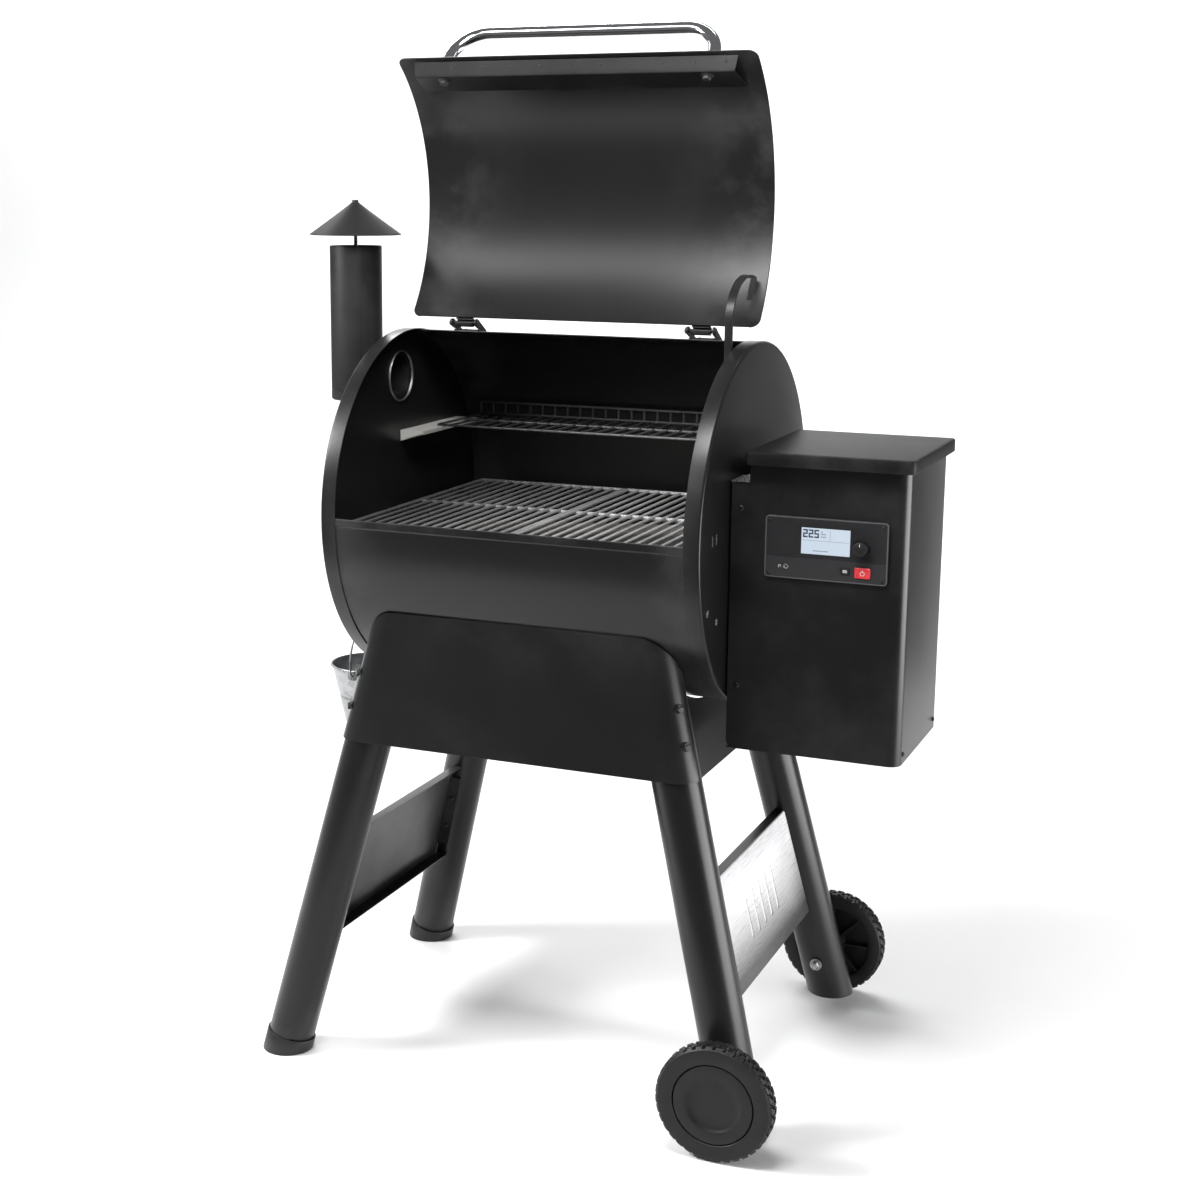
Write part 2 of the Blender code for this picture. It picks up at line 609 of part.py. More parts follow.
def foot_cap(name, side_x, side_y):
    """Plastic shoe on the bottom of a leg, flat on the floor."""
    outer, inner = LEG_R + 0.0024, LEG_R + GAP
    foot, slope = leg_line(side_x, side_y)
    along = slope.normalized()
    bm = bmesh.new()
    rings = []
    for radius, level in ((inner, 0.0036), (inner, None), (outer, None), (outer, 0.0)):
        ring = []
        for k in range(LEG_SIDES):
            start, slope = ring_point(side_x, side_y, radius, 360.0 * k / LEG_SIDES)
            if level is None:
                start = start + slope * ((SHOE_H - (start - foot).dot(along)) / slope.dot(along))
            else:
                start = start + slope * level
            ring.append(bm.verts.new(start))
        rings.append(ring)
    bm.faces.new(rings[0])
    bm.faces.new(rings[-1])
    for one, two in zip(rings, rings[1:]):
        for k in range(LEG_SIDES):
            n = (k + 1) % LEG_SIDES
            bm.faces.new((one[k], one[n], two[n], two[k]))
    add(name, bm, PLASTIC)


def apron(name, side_y):
    """Sheet across two legs that wraps round their outer sides and meets the barrel."""
    headings = [(-1, a) for a in steps(195, 270, 9)] + [(1, a) for a in steps(270, 345, 9)]
    rows = []
    for side_x, degrees in headings:
        pair = []
        for radius in (LEG_R + 0.0034, LEG_R + 0.0018):
            start, slope = ring_point(side_x, side_y, radius, degrees * -side_y)
            pair.append([start + slope * APRON_LOW, to_barrel(start, slope, 0.0010)])
        rows.append((pair[0], pair[1]))
    add(name, skin(rows), BLACK_COAT)


def side_panel(name, side_x):
    """Sheet between a front and a rear leg, cut round to the underside of the barrel."""
    rows = []
    for fraction in steps(-1.0, 1.0, 12):
        pair = []
        for shift in (0.0, SHEET):
            base = Vector((side_x * (LEG_FOOT.x + shift), fraction * (LEG_FOOT.y - LEG_R - 0.0012), 0.0))
            slope = Vector((side_x * LEG_SLOPE.x, fraction * LEG_SLOPE.y, 1.0))
            pair.append([base + slope * SIDE_PANEL_LOW, to_barrel(base, slope, 0.0010)])
        rows.append((pair[0], pair[1]))
    add(name, skin(rows), BLACK_COAT)


def brace(name, side_x, mat):
    """Shallow tray-shaped panel between a front and a rear leg."""
    corners = [(BRACE_OUT - 0.018, BRACE_HIGH), (BRACE_OUT, BRACE_HIGH), (BRACE_OUT, BRACE_LOW),
               (BRACE_OUT - 0.024, BRACE_LOW)]
    rows = []
    inner = offset_line(corners, -BRACE_SHEET)
    for (off, z), (off_in, z_in) in zip(corners, inner):
        pair = []
        for o, h in ((off, z), (off_in, z_in)):
            x = side_x * (LEG_FOOT.x + LEG_SLOPE.x * h + o)
            half = LEG_FOOT.y + LEG_SLOPE.y * h - LEG_R - 0.0008
            pair.append([(x, -half, h), (x, half, h)])
        rows.append((pair[0], pair[1]))
    return add(name, skin(rows), mat)


def base_panels():
    apron("apron_front", -1)
    apron("apron_rear", 1)
    for word, side_x in (("left", -1), ("right", 1)):
        side_panel(f"side_panel_{word}", side_x)
    brace("brace_left", -1, BLACK_COAT)
    panel = brace("brace_right", 1, SATIN_PANEL)
    for k in range(BRACE_SLOTS):
        bm = bmesh.new()
        y = SLOT_PITCH * (k - (BRACE_SLOTS - 1) / 2)
        box(bm, (0.26, y - SLOT_HALF, SLOT_Z0), (0.40, y + SLOT_HALF, SLOT_Z1))
        cut(panel, f"cut_brace_{k}", bm)


def wheel_set(word, side_y):
    """Moulded wheel, its hub cap and its axle bolt; distances run inwards from the wheel's outer face."""
    def spun(profile, sides, closed):
        outline = [(r, side_y * (WHEEL_OUT - inward)) for r, inward in profile]
        return turned(outline, (WHEEL_X, 0, WHEEL_R), "y", sides, closed)

    bore, web, back = AXLE_R + GAP, WHEEL_WEB, WHEEL_W
    well, tread, edge = 0.0608, 0.0065, 0.0868
    rim = [(bore, web), (well, web), (well, 0.0015), (0.0625, 0.0), (0.082, 0.0), (edge, 0.0024),
           (WHEEL_R, tread), (WHEEL_R, back - tread), (edge, back - 0.0024), (0.082, back), (0.066, back),
           (0.063, back - 0.002), (0.062, web + 0.005), (0.022, web + 0.005), (0.0175, WHEEL_BOSS),
           (bore, WHEEL_BOSS)]
    pivot = (WHEEL_X, side_y * (WHEEL_OUT - WHEEL_W / 2), WHEEL_R)
    add(f"wheel_{word}", spun(rim, 40, True), WHEEL_PLASTIC, pivot)
    seat = web - GAP
    cap = [(0, 0.0056), (0.034, 0.0052), (0.042, 0.0010), (0.056, 0.0004), (0.0598, 0.0025), (0.0603, 0.0050),
           (0.0603, seat), (0.0585, seat), (0.0585, 0.0078), (0, 0.0078)]
    add(f"hub_cap_{word}", spun(cap, 40, False), WHEEL_PLASTIC, pivot)
    end = WHEEL_OUT - AXLE_END
    bolt = [(0, 0.0082), (0.0092, 0.0082), (0.0100, 0.0092), (0.0100, seat), (AXLE_R, seat),
            (AXLE_R, end), (0, end)]
    add(f"axle_{word}", spun(bolt, 20, False), GALVANIZED)


# ---- cooking surfaces and fire -------------------------------------------------------------------
def bars(start, end, count, width):
    """Stations of equal bars and gaps, the first and last cell being bars."""
    pitch = (end - start - width) / (count - 1)
    xs = []
    for k in range(count):
        xs += [start + k * pitch, start + k * pitch + width]
    return xs


def main_grates():
    """Two halves, each a row of front-to-back bars on three cross bars."""
    top = GRATE_Z + GRATE_THICK
    lines = [-GRATE_HALF, -GRATE_HALF + 0.006, -0.003, 0.003, GRATE_HALF - 0.006, GRATE_HALF]
    sections = [((y, top), (y, GRATE_Z)) for y in lines]
    for name, x0, x1 in (("main_grate_left", -0.270, -0.0010), ("main_grate_right", 0.0010, 0.270)):
        xs = bars(x0, x1, GRATE_BARS, GRATE_THICK)
        add(name, lattice(xs, sections, lambda i, j: i % 2 == 0 or j % 2 == 0), ENAMEL, (0, 0, GRATE_Z))


def upper_rack():
    """Shelf of bars with a wire fence bent up along its rear."""
    t, middle, top = RACK_ROD, 0.148, RACK_Z + FENCE_H
    stations = (RACK_Y0, RACK_Y0 + t, middle, middle + t, RACK_Y1 - 2 * t)
    sections = [((y, RACK_Z), (y, RACK_Z + t)) for y in stations]
    sections.append(((RACK_Y1, RACK_Z), (RACK_Y1 - t, RACK_Z + t)))
    sections += [((RACK_Y1, z), (RACK_Y1 - t, z)) for z in (top - t, top)]
    xs = bars(-0.268, 0.268, RACK_BARS, RACK_ROD)
    rails = (0, 2, 6)
    add("upper_rack", lattice(xs, sections, lambda i, j: i % 2 == 0 or j in rails), ENAMEL, (0, middle, RACK_Z))


def rack_brackets():
    """Angle strips on the end caps that carry the upper rack."""
    wall, top, low = BARREL_HALF - SHEET - GAP, RACK_Z - GAP, RACK_Z - BRACKET_DEEP
    tip = wall - BRACKET_REACH
    section = [(wall, low), (wall, top), (tip, top), (tip, top - SHEET), (wall - SHEET, top - SHEET),
               (wall - SHEET, low)]
    for word, side in (("left", -1), ("right", 1)):
        outline = [(side * x, z) for x, z in section]
        add(f"rack_bracket_{word}", prism(outline, -0.009, 0.200, "y"), GALVANIZED)


def drip_tray():
    """Sloped pan that drains to the left, with turned-up front and rear edges."""
    profile = [(-TRAY_HALF, TRAY_EDGE), (-TRAY_HALF, 0.0), (TRAY_HALF, 0.0), (TRAY_HALF, TRAY_EDGE)]

    def pair(y, up):
        return [(-TRAY_X, y, TRAY_Z + up), (TRAY_X, y, TRAY_Z + TRAY_FALL + up)]

    rows = [(pair(*low), pair(*high)) for low, high in zip(profile, offset_line(profile, SHEET))]
    add("drip_tray", skin(rows), RAW_STEEL, (0, 0, TRAY_Z))


def heat_baffle():
    """Hood over the fire pot: its skirts stand on the barrel wall and its top carries the drip tray."""
    foot_z = AXIS_Z - math.sqrt((SHELL_R - SHEET - 0.001) ** 2 - BAFFLE_FOOT ** 2)
    rows = []
    for side, y, on_wall in ((-1, BAFFLE_FOOT, True), (-1, BAFFLE_TOP, False),
                             (1, BAFFLE_TOP, False), (1, BAFFLE_FOOT, True)):
        outer, inner = [], []
        for x in (-BAFFLE_HALF, BAFFLE_HALF):
            under_tray = TRAY_Z - 0.0007 + TRAY_FALL * (x + TRAY_X) / (2 * TRAY_X)
            outer.append((x, side * y, foot_z if on_wall else under_tray))
            inner.append((x, side * (y - BAFFLE_SHEET), foot_z if on_wall else under_tray - BAFFLE_SHEET))
        rows.append((outer, inner))
    add("heat_baffle", skin(rows), RAW_STEEL)


def fire_pot():
    """Square cup on the barrel floor with holes for the auger and the igniter."""
    bm = bmesh.new()
    box(bm, (-POT_HALF, -POT_HALF, POT_Z0), (POT_HALF, POT_HALF, POT_Z1))
    pot = add("fire_pot", bm, RAW_STEEL)
    hollow = bmesh.new()
    room = POT_HALF - POT_WALL
    box(hollow, (-room, -room, POT_Z0 + POT_WALL), (room, room, POT_Z1 + 0.01))
    cut(pot, "cut_pot_inside", hollow)
    cut(pot, "cut_pot_auger", rod_along("x", (0, 0, AUGER_Z), AUGER_BLADE, 0.03, 0.06, 20))
    cut(pot, "cut_pot_igniter", rod_along("x", (0, 0, IGNITER_Z), IGNITER_R + 0.0012, 0.03, 0.06, 12))
    add("igniter_rod", rod_along("x", (0, 0, IGNITER_Z), IGNITER_R, 0.0365, 0.135, 12), RAW_STEEL)


def auger_tube():
    """Tube from the bin to the fire pot, open on top under the bin."""
    start, end = POT_HALF + 0.0008, 0.4400
    bore = AUGER_TUBE_R - SHEET
    tube = [(bore, start), (AUGER_TUBE_R, start), (AUGER_TUBE_R, end), (bore, end)]
    obj = add("auger_tube", turned(tube, (0, 0, AUGER_Z), "x", 28), RAW_STEEL)
    mouth = bmesh.new()
    box(mouth, (0.345, -0.020, AUGER_Z + 0.008), (0.425, 0.020, AUGER_Z + 0.05))
    cut(obj, "cut_tube_mouth", mouth)


def auger():
    """Feed screw: a round section whose one raised side winds along the shaft."""
    around, crest = 10, 16
    count = AUGER_TURNS * around
    bm = bmesh.new()
    rings = []
    for i, x in enumerate(steps(AUGER_START, AUGER_END, count)):
        heading = 2 * math.pi * i / around
        ring = []
        for k in range(around):
            t = 2 * math.pi * k / around
            r = AUGER_SHAFT + (AUGER_BLADE - AUGER_SHAFT) * math.cos((t - heading) / 2.0) ** crest
            ring.append(bm.verts.new((x, r * math.cos(t), AUGER_Z + r * math.sin(t))))
        rings.append(ring)
    for one, two in zip(rings, rings[1:]):
        for k in range(around):
            n = (k + 1) % around
            bm.faces.new((one[k], one[n], two[n], two[k]))
    bm.faces.new(rings[0])
    bm.faces.new(rings[-1])
    add("auger", bm, RAW_STEEL, (0.25, 0, AUGER_Z))


def auger_motor():
    """Gear box against the end of the tube, with its motor drum behind."""
    motor = bmesh.new()
    box(motor, (MOTOR_X0, -MOTOR_Y, AUGER_Z - MOTOR_Z), (MOTOR_X1, MOTOR_Y, AUGER_Z + MOTOR_Z))
    obj = add("auger_motor", motor, RAW_STEEL)
    cut(obj, "cut_motor_mouth", rod_along("x", (0, 0, AUGER_Z), 0.012, MOTOR_X0 - 0.01, MOTOR_X0 + 0.01, 16))
    drum = rod_along("x", (0, 0, AUGER_Z), 0.026, MOTOR_X1 - 0.005, MOTOR_X1 + 0.017, 20)
    cut(obj, "join_motor_drum", drum, "UNION")


def blower():
    """Combustion fan: an open-faced drum against the end cap, with its rotor inside."""
    inside, back = FAN_R - 0.002, FAN_X1 - 0.002
    drum = [(0, FAN_X1), (FAN_R, FAN_X1), (FAN_R, FAN_X0), (inside, FAN_X0), (inside, back), (0, back)]
    add("blower_housing", turned(drum, (0, FAN_Y, FAN_Z), "x", 32, closed=False), PLASTIC)
    hub = rod_along("x", (0, FAN_Y, FAN_Z), 0.011, FAN_X0 + 0.006, FAN_X1 - 0.006, 18)
    rotor = add("blower_rotor", hub, PLASTIC, (FAN_X0 + 0.027, FAN_Y, FAN_Z))
    for k in range(FAN_BLADES):
        blade = bmesh.new()
        verts = box(blade, (FAN_X0 + 0.008, -0.0012, 0.006), (FAN_X1 - 0.010, 0.0012, FAN_R - 0.006))
        turn = Matrix.Rotation(2 * math.pi * k / FAN_BLADES, 3, "X")
        bmesh.ops.rotate(blade, verts=verts, cent=(0, 0, 0), matrix=turn)
        bmesh.ops.translate(blade, verts=verts, vec=(0, FAN_Y, FAN_Z))
        cut(rotor, f"join_blade_{k}", blade, "UNION")


# ---- hopper ------------------------------------------------------------------------------------
def housing_outline(inset, left):
    """Plan of the housing, open at the left, with its two upright corners rounded."""
    outline = [(left, HOP_Y0 + inset)]
    outline += arc(HOP_X1 - HOP_FRONT_R, HOP_Y0 + HOP_FRONT_R, HOP_FRONT_R - inset, -90, 0, 7)
    outline += arc(HOP_X1 - HOP_REAR_R, HOP_Y1 - HOP_REAR_R, HOP_REAR_R - inset, 0, 90, 5)
    return outline + [(left, HOP_Y1 - inset)]


def hopper_housing():
    """Sheet box open at the top and towards the barrel, with rounded corners."""
    housing = add("hopper_housing", prism(housing_outline(0.0, HOP_X0), HOP_Z0, HOP_Z1, "z"), BLACK_COAT)
    room = prism(housing_outline(SHEET, HOP_X0 - 0.01), HOP_Z0 + SHEET, HOP_Z1 + 0.01, "z")
    cut(housing, "cut_housing_inside", room)
    notch = bmesh.new()
    box(notch, (HOP_X0 - 0.02, HOP_Y0 - 0.02, HOP_NOTCH_Z), (HOP_LID_X0 + 0.0025, HOP_Y1 + 0.02, HOP_Z1 + 0.02))
    cut(housing, "cut_housing_notch", notch)
    window, inset = bmesh.new(), 0.006
    box(window, (BEZEL_X0 + inset, HOP_Y0 - 0.01, BEZEL_Z0 + inset),
        (BEZEL_X1 - inset, HOP_Y0 + 0.01, BEZEL_Z1 - inset))
    cut(housing, "cut_housing_window", window)
    out = 0.005
    bend = HOP_X0 + HOP_LOW_R, HOP_Z0 + HOP_LOW_R
    corner = [(HOP_X0 - out, HOP_Z0 - out), (bend[0], HOP_Z0 - out)]
    corner += arc(*bend, HOP_LOW_R, 270, 180, 6) + [(HOP_X0 - out, bend[1])]
    cut(housing, "cut_housing_corner", prism(corner, HOP_Y0 - 0.01, HOP_Y0 + SHEET + 0.0006, "y"))


def pellet_bin():
    """Tapered bin inside the housing that feeds the auger."""
    t = BIN_SHEET
    high, bend, low = 0.9860, 0.8000, 0.6890
    top = (0.3380, HOP_Y0 + 0.0340, HOP_X1 - 0.006, HOP_Y1 - 0.004)
    foot = (0.3450, -0.0200, 0.4250, 0.0200)
    bm = bmesh.new()
    rings = []
    for (x0, y0, x1, y1), z, i in ((top, high, 0), (top, bend, 0), (foot, low, 0),
                                   (foot, low, t), (top, bend + 0.001, t), (top, high, t)):
        corners = ((x0 + i, y0 + i), (x1 - i, y0 + i), (x1 - i, y1 - i), (x0 + i, y1 - i))
        rings.append([bm.verts.new((x, y, z)) for x, y in corners])
    for one, two in zip(rings, rings[1:] + rings[:1]):
        for k in range(4):
            n = (k + 1) % 4
            bm.faces.new((one[k], one[n], two[n], two[k]))
    add("pellet_bin", bm, RAW_STEEL)


def hopper_lid():
    """Shallow cover whose rim overhangs the housing; hinged along its rear edge."""
    r, t = HOP_LID_R, HOP_LID_SHEET
    x0, x1, y0, y1 = HOP_LID_X0, HOP_LID_X1, HOP_LID_Y0, HOP_LID_Y1
    edge = 0.0015

    def outline(inset):
        q = max(r - inset, 0.001)
        points = []
        for cx, cy, a in ((x1 - r, y0 + r, -90), (x1 - r, y1 - r, 0),
                          (x0 + r, y1 - r, 90), (x0 + r, y0 + r, 180)):
            points += arc(cx, cy, q, a, a + 90, 5)
        return points

    bm = bmesh.new()
    rings = []
    for inset, z in ((edge, HOP_LID_Z1), (0.0, HOP_LID_Z1 - edge), (0.0, HOP_LID_Z0),
                     (t, HOP_LID_Z0), (t, HOP_LID_Z1 - t)):
        rings.append([bm.verts.new((x, y, z)) for x, y in outline(inset)])
    bm.faces.new(rings[0])
    bm.faces.new(rings[-1])
    for one, two in zip(rings, rings[1:]):
        for k in range(len(one)):
            n = (k + 1) % len(one)
            bm.faces.new((one[k], one[n], two[n], two[k]))
    add("hopper_lid", bm, BLACK_COAT, (0.45, HOP_LID_Y1 + 0.003, HOP_LID_Z0))


# ---- controller --------------------------------------------------------------------------------
def controller():
    """Bezel with its electronics box behind, and the screen, knob and two buttons set in its face."""
    bm = bmesh.new()
    box(bm, (BEZEL_X0, FACE_Y, BEZEL_Z0), (BEZEL_X1, HOP_Y0 - GAP, BEZEL_Z1))
    upright = [e for e in bm.edges if abs(e.verts[0].co.y - e.verts[1].co.y) > 0.001]
    bmesh.ops.bevel(bm, geom=upright, offset=BEZEL_R, segments=3, affect="EDGES", profile=0.5)
    bezel = add("controller_bezel", bm, PLASTIC)
    back, inset = bmesh.new(), 0.0075
    box(back, (BEZEL_X0 + inset, FACE_Y + 0.003, BEZEL_Z0 + inset),
        (BEZEL_X1 - inset, HOP_Y0 + 0.0290, BEZEL_Z1 - inset))
    cut(bezel, "join_bezel_box", back, "UNION")
    for name, (x0, z0, x1, z1), depth, proud, mat in (
            ("display", SCREEN_BOX, 0.0030, -0.0006, SCREEN),
            ("menu_button", MENU_BOX, 0.0080, 0.0012, PLASTIC),
            ("ignite_button", IGNITE_BOX, 0.0080, 0.0016, RED_PLASTIC)):
        pocket = bmesh.new()
        bottom = FACE_Y + depth + BUTTON_TRAVEL + GAP
        box(pocket, (x0 - GAP, FACE_Y - 0.01, z0 - GAP), (x1 + GAP, bottom, z1 + GAP))
        cut(bezel, "cut_" + name, pocket)
        block = bmesh.new()
        box(block, (x0, FACE_Y - proud, z0), (x1, FACE_Y + depth, z1))
        bmesh.ops.bevel(block, geom=block.edges[:], offset=0.0004, segments=1, affect="EDGES")
        add(name, block, mat, ((x0 + x1) / 2, FACE_Y, (z0 + z1) / 2))
    x, z = KNOB_AT
    cut(bezel, "cut_knob", rod_along("y", (x, 0, z), 0.0042, FACE_Y - 0.01, FACE_Y + 0.014, 20))
    knob = [(0, -KNOB_PROUD), (KNOB_R - 0.0015, -KNOB_PROUD), (KNOB_R - 0.0004, 0.0012 - KNOB_PROUD),
            (KNOB_R, -0.0008), (KNOB_SHAFT, -0.0008), (KNOB_SHAFT, 0.0120), (0, 0.0120)]
    bm = turned([(r, FACE_Y + y) for r, y in knob], (x, 0, z), "y", 32, closed=False)
    add("control_knob", bm, PLASTIC, (x, FACE_Y, z))


# ---- grease bucket -----------------------------------------------------------------------------
def bucket():
    """Tapered pail with a rolled rim, hung by a wire bail from the drain spout."""
    t, bead = 0.0012, BUCKET_TOP_R + 0.0022
    low = BUCKET_RIM_Z - BUCKET_H
    groove = BUCKET_RIM_Z - 0.053

    def radius(z):
        return BUCKET_LOW_R + (BUCKET_TOP_R - BUCKET_LOW_R) * (z - low) / BUCKET_H

    outer = [(0, low), (radius(low), low), (radius(groove) - 0.0002, groove - 0.002),
             (radius(groove) - 0.0012, groove), (radius(groove) + 0.0002, groove + 0.002),
             (BUCKET_TOP_R, BUCKET_RIM_Z - 0.004), (bead, BUCKET_RIM_Z - 0.003), (bead, BUCKET_RIM_Z - 0.0008),
             (BUCKET_TOP_R + 0.0008, BUCKET_RIM_Z)]
    inner = [(BUCKET_TOP_R - t, BUCKET_RIM_Z), (radius(low) - t, low + t), (0, low + t)]
    pivot = (BUCKET_X, 0, EAR_Z)
    bm = turned(outer + inner, (BUCKET_X, 0, 0), "z", 40, closed=False)
    pail = add("bucket", bm, GALVANIZED, pivot)
    half = 0.0065
    for k, side in enumerate((-1, 1)):
        ear = bmesh.new()
        near, far = sorted((side * 0.0690, side * 0.0712))
        box(ear, (BUCKET_X - half, near, EAR_Z - half), (BUCKET_X + half, far, BUCKET_RIM_Z - 0.0012))
        cut(pail, f"join_ear_{k}", ear, "UNION")
        hole = rod_along("y", (BUCKET_X, 0, EAR_Z), BAIL_R + 0.0006, near - 0.0004, far + 0.002, 12)
        cut(pail, f"cut_ear_{k}", hole)


def bucket_bail():
    """Wire bail: its ends pass through the ears and its top sits in the groove of the drain spout."""
    reach = BAIL_REACH
    top = DRAIN_Z + DRAIN_R - 0.003 + BAIL_R + 0.0006
    shoulder = EAR_Z + 0.018
    end, bend = 0.0685, 0.004
    path = [(-end, EAR_Z), (-reach + bend, EAR_Z), (-reach + 0.001, EAR_Z + 0.0012), (-reach, EAR_Z + bend)]
    path += arc(0, shoulder, reach, 180, 126, 6)
    path += arc(0, top - 0.0125, 0.0125, 150, 30, 6)
    path += arc(0, shoulder, reach, 54, 0, 6)
    path += [(reach, EAR_Z + bend), (reach - 0.001, EAR_Z + 0.0012), (reach - bend, EAR_Z), (end, EAR_Z)]
    bm = swept([(BUCKET_X, y, z) for y, z in path], BAIL_R, 8)
    add("bucket_bail", bm, GALVANIZED, (BUCKET_X, 0, top))


# ---- build -------------------------------------------------------------------------------------
def build():
    barrel_shell()
    end_caps()
    drain_spout()
    grate_ledges()
    empty = lid_hinge_empty()
    lid_shell(empty)
    lid_stiffener(empty)
    lid_handle(empty)
    lid_stop_arm(empty)
    for word, x in (("left", -HINGE_X), ("right", HINGE_X)):
        hinge_leaf(f"hinge_leaf_{word}", x, empty)
        hinge_base(f"hinge_base_{word}", x)
    chimney()
    chimney_top()
    legs()
    base_panels()
    for word, side_y in (("front", -1), ("rear", 1)):
        wheel_set(word, side_y)
    main_grates()
    upper_rack()
    rack_brackets()
    drip_tray()
    heat_baffle()
    fire_pot()
    auger_tube()
    auger()
    auger_motor()
    blower()
    hopper_housing()
    pellet_bin()
    hopper_lid()
    controller()
    bucket()
    bucket_bail()
    bpy.context.view_layer.update()


build()
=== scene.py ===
"""Looks of the pellet smoker grill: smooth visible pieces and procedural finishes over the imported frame."""
import json
from math import cos, degrees, pi, radians, sin, sqrt

import bmesh
import bpy
from mathutils import Matrix, Vector


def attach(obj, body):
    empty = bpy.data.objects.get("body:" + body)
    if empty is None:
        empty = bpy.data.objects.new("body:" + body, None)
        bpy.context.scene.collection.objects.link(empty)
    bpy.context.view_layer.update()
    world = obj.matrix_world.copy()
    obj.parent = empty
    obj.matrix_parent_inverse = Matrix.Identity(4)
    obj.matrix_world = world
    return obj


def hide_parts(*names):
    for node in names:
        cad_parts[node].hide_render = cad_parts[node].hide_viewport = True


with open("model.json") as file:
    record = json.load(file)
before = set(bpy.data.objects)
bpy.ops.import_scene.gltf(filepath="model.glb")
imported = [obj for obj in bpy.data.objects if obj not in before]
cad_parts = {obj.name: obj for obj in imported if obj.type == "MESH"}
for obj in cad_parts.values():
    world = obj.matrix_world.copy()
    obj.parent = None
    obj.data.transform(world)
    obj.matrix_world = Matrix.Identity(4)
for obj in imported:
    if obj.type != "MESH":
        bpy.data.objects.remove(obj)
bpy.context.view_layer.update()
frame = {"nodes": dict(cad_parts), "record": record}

# ---- measures shared with the frame, from the middle of the barrel, in metres
SIDES = (("left", -1), ("right", 1))
ENDS = (("front", -1), ("rear", 1))
AXIS_Z = 0.8734
CAP_HALF, CAP_R, SHEET = 0.302, 0.274, 0.0015
SHELL_R = 0.2721
LID_R, LID_SHEET, LID_HALF = 0.275, 0.002, 0.29
HINGE_X, HINGE_Y, HINGE_Z, LID_OPEN = 0.199, 0.0218, 1.1578, 126.4
HANDLE_DEGREES = 175.0
CHIMNEY = Vector((-0.379, -0.009, 0.0))
FLUE_Z, ELBOW_Z, FEED_Z, DRAIN_Z = 1.071, 1.075, 0.655, 0.64
LEG_R = 0.037
LEG_FOOT, LEG_SLOPE = Vector((0.385, 0.261, 0.0)), Vector((-0.25, -0.0892, 1.0))
WHEEL_R, WHEEL_OUT, WHEEL_X = 0.088, 0.3455, 0.363
GRATE_Z, RACK_Z = 0.866, 0.9835
BUCKET_X, EAR_Z, RIM_Z = -0.362, 0.5775, 0.586
# hopper box, its lid, the controller's plate, and what sits in the plate: (x, z, x, z)
HX0, HX1, HY0, HY1, HZ0, HZ1 = 0.305, 0.564, -0.1405, 0.103, 0.557, 1.0013
LX0, LX1, LY0, LY1, LZ0, LZ1 = 0.3295, 0.5737, -0.161, 0.118, 0.9846, 1.0041
BX0, BX1, BZ0, BZ1, FACE_Y = 0.358, 0.537, 0.822, 0.912, -0.1457
SCREEN_AT = (0.411, 0.8595, 0.482, 0.8975)
IGNITE_AT = (0.4905, 0.8305, 0.513, 0.8455)
MENU_AT = (0.47, 0.8345, 0.483, 0.8425)
KNOB_X, KNOB_Z = 0.4992, 0.874

AXES = {"x": Matrix.Rotation(pi / 2, 4, "Y"), "y": Matrix.Rotation(-pi / 2, 4, "X"),
        "z": Matrix.Identity(4)}
SHIFT = Matrix.Translation((-0.0606, 0.0, 0.0))
OPENED = (SHIFT @ Matrix.Translation((0, HINGE_Y, HINGE_Z))
          @ Matrix.Rotation(-radians(LID_OPEN), 4, "X") @ Matrix.Translation((0, -HINGE_Y, -HINGE_Z)))


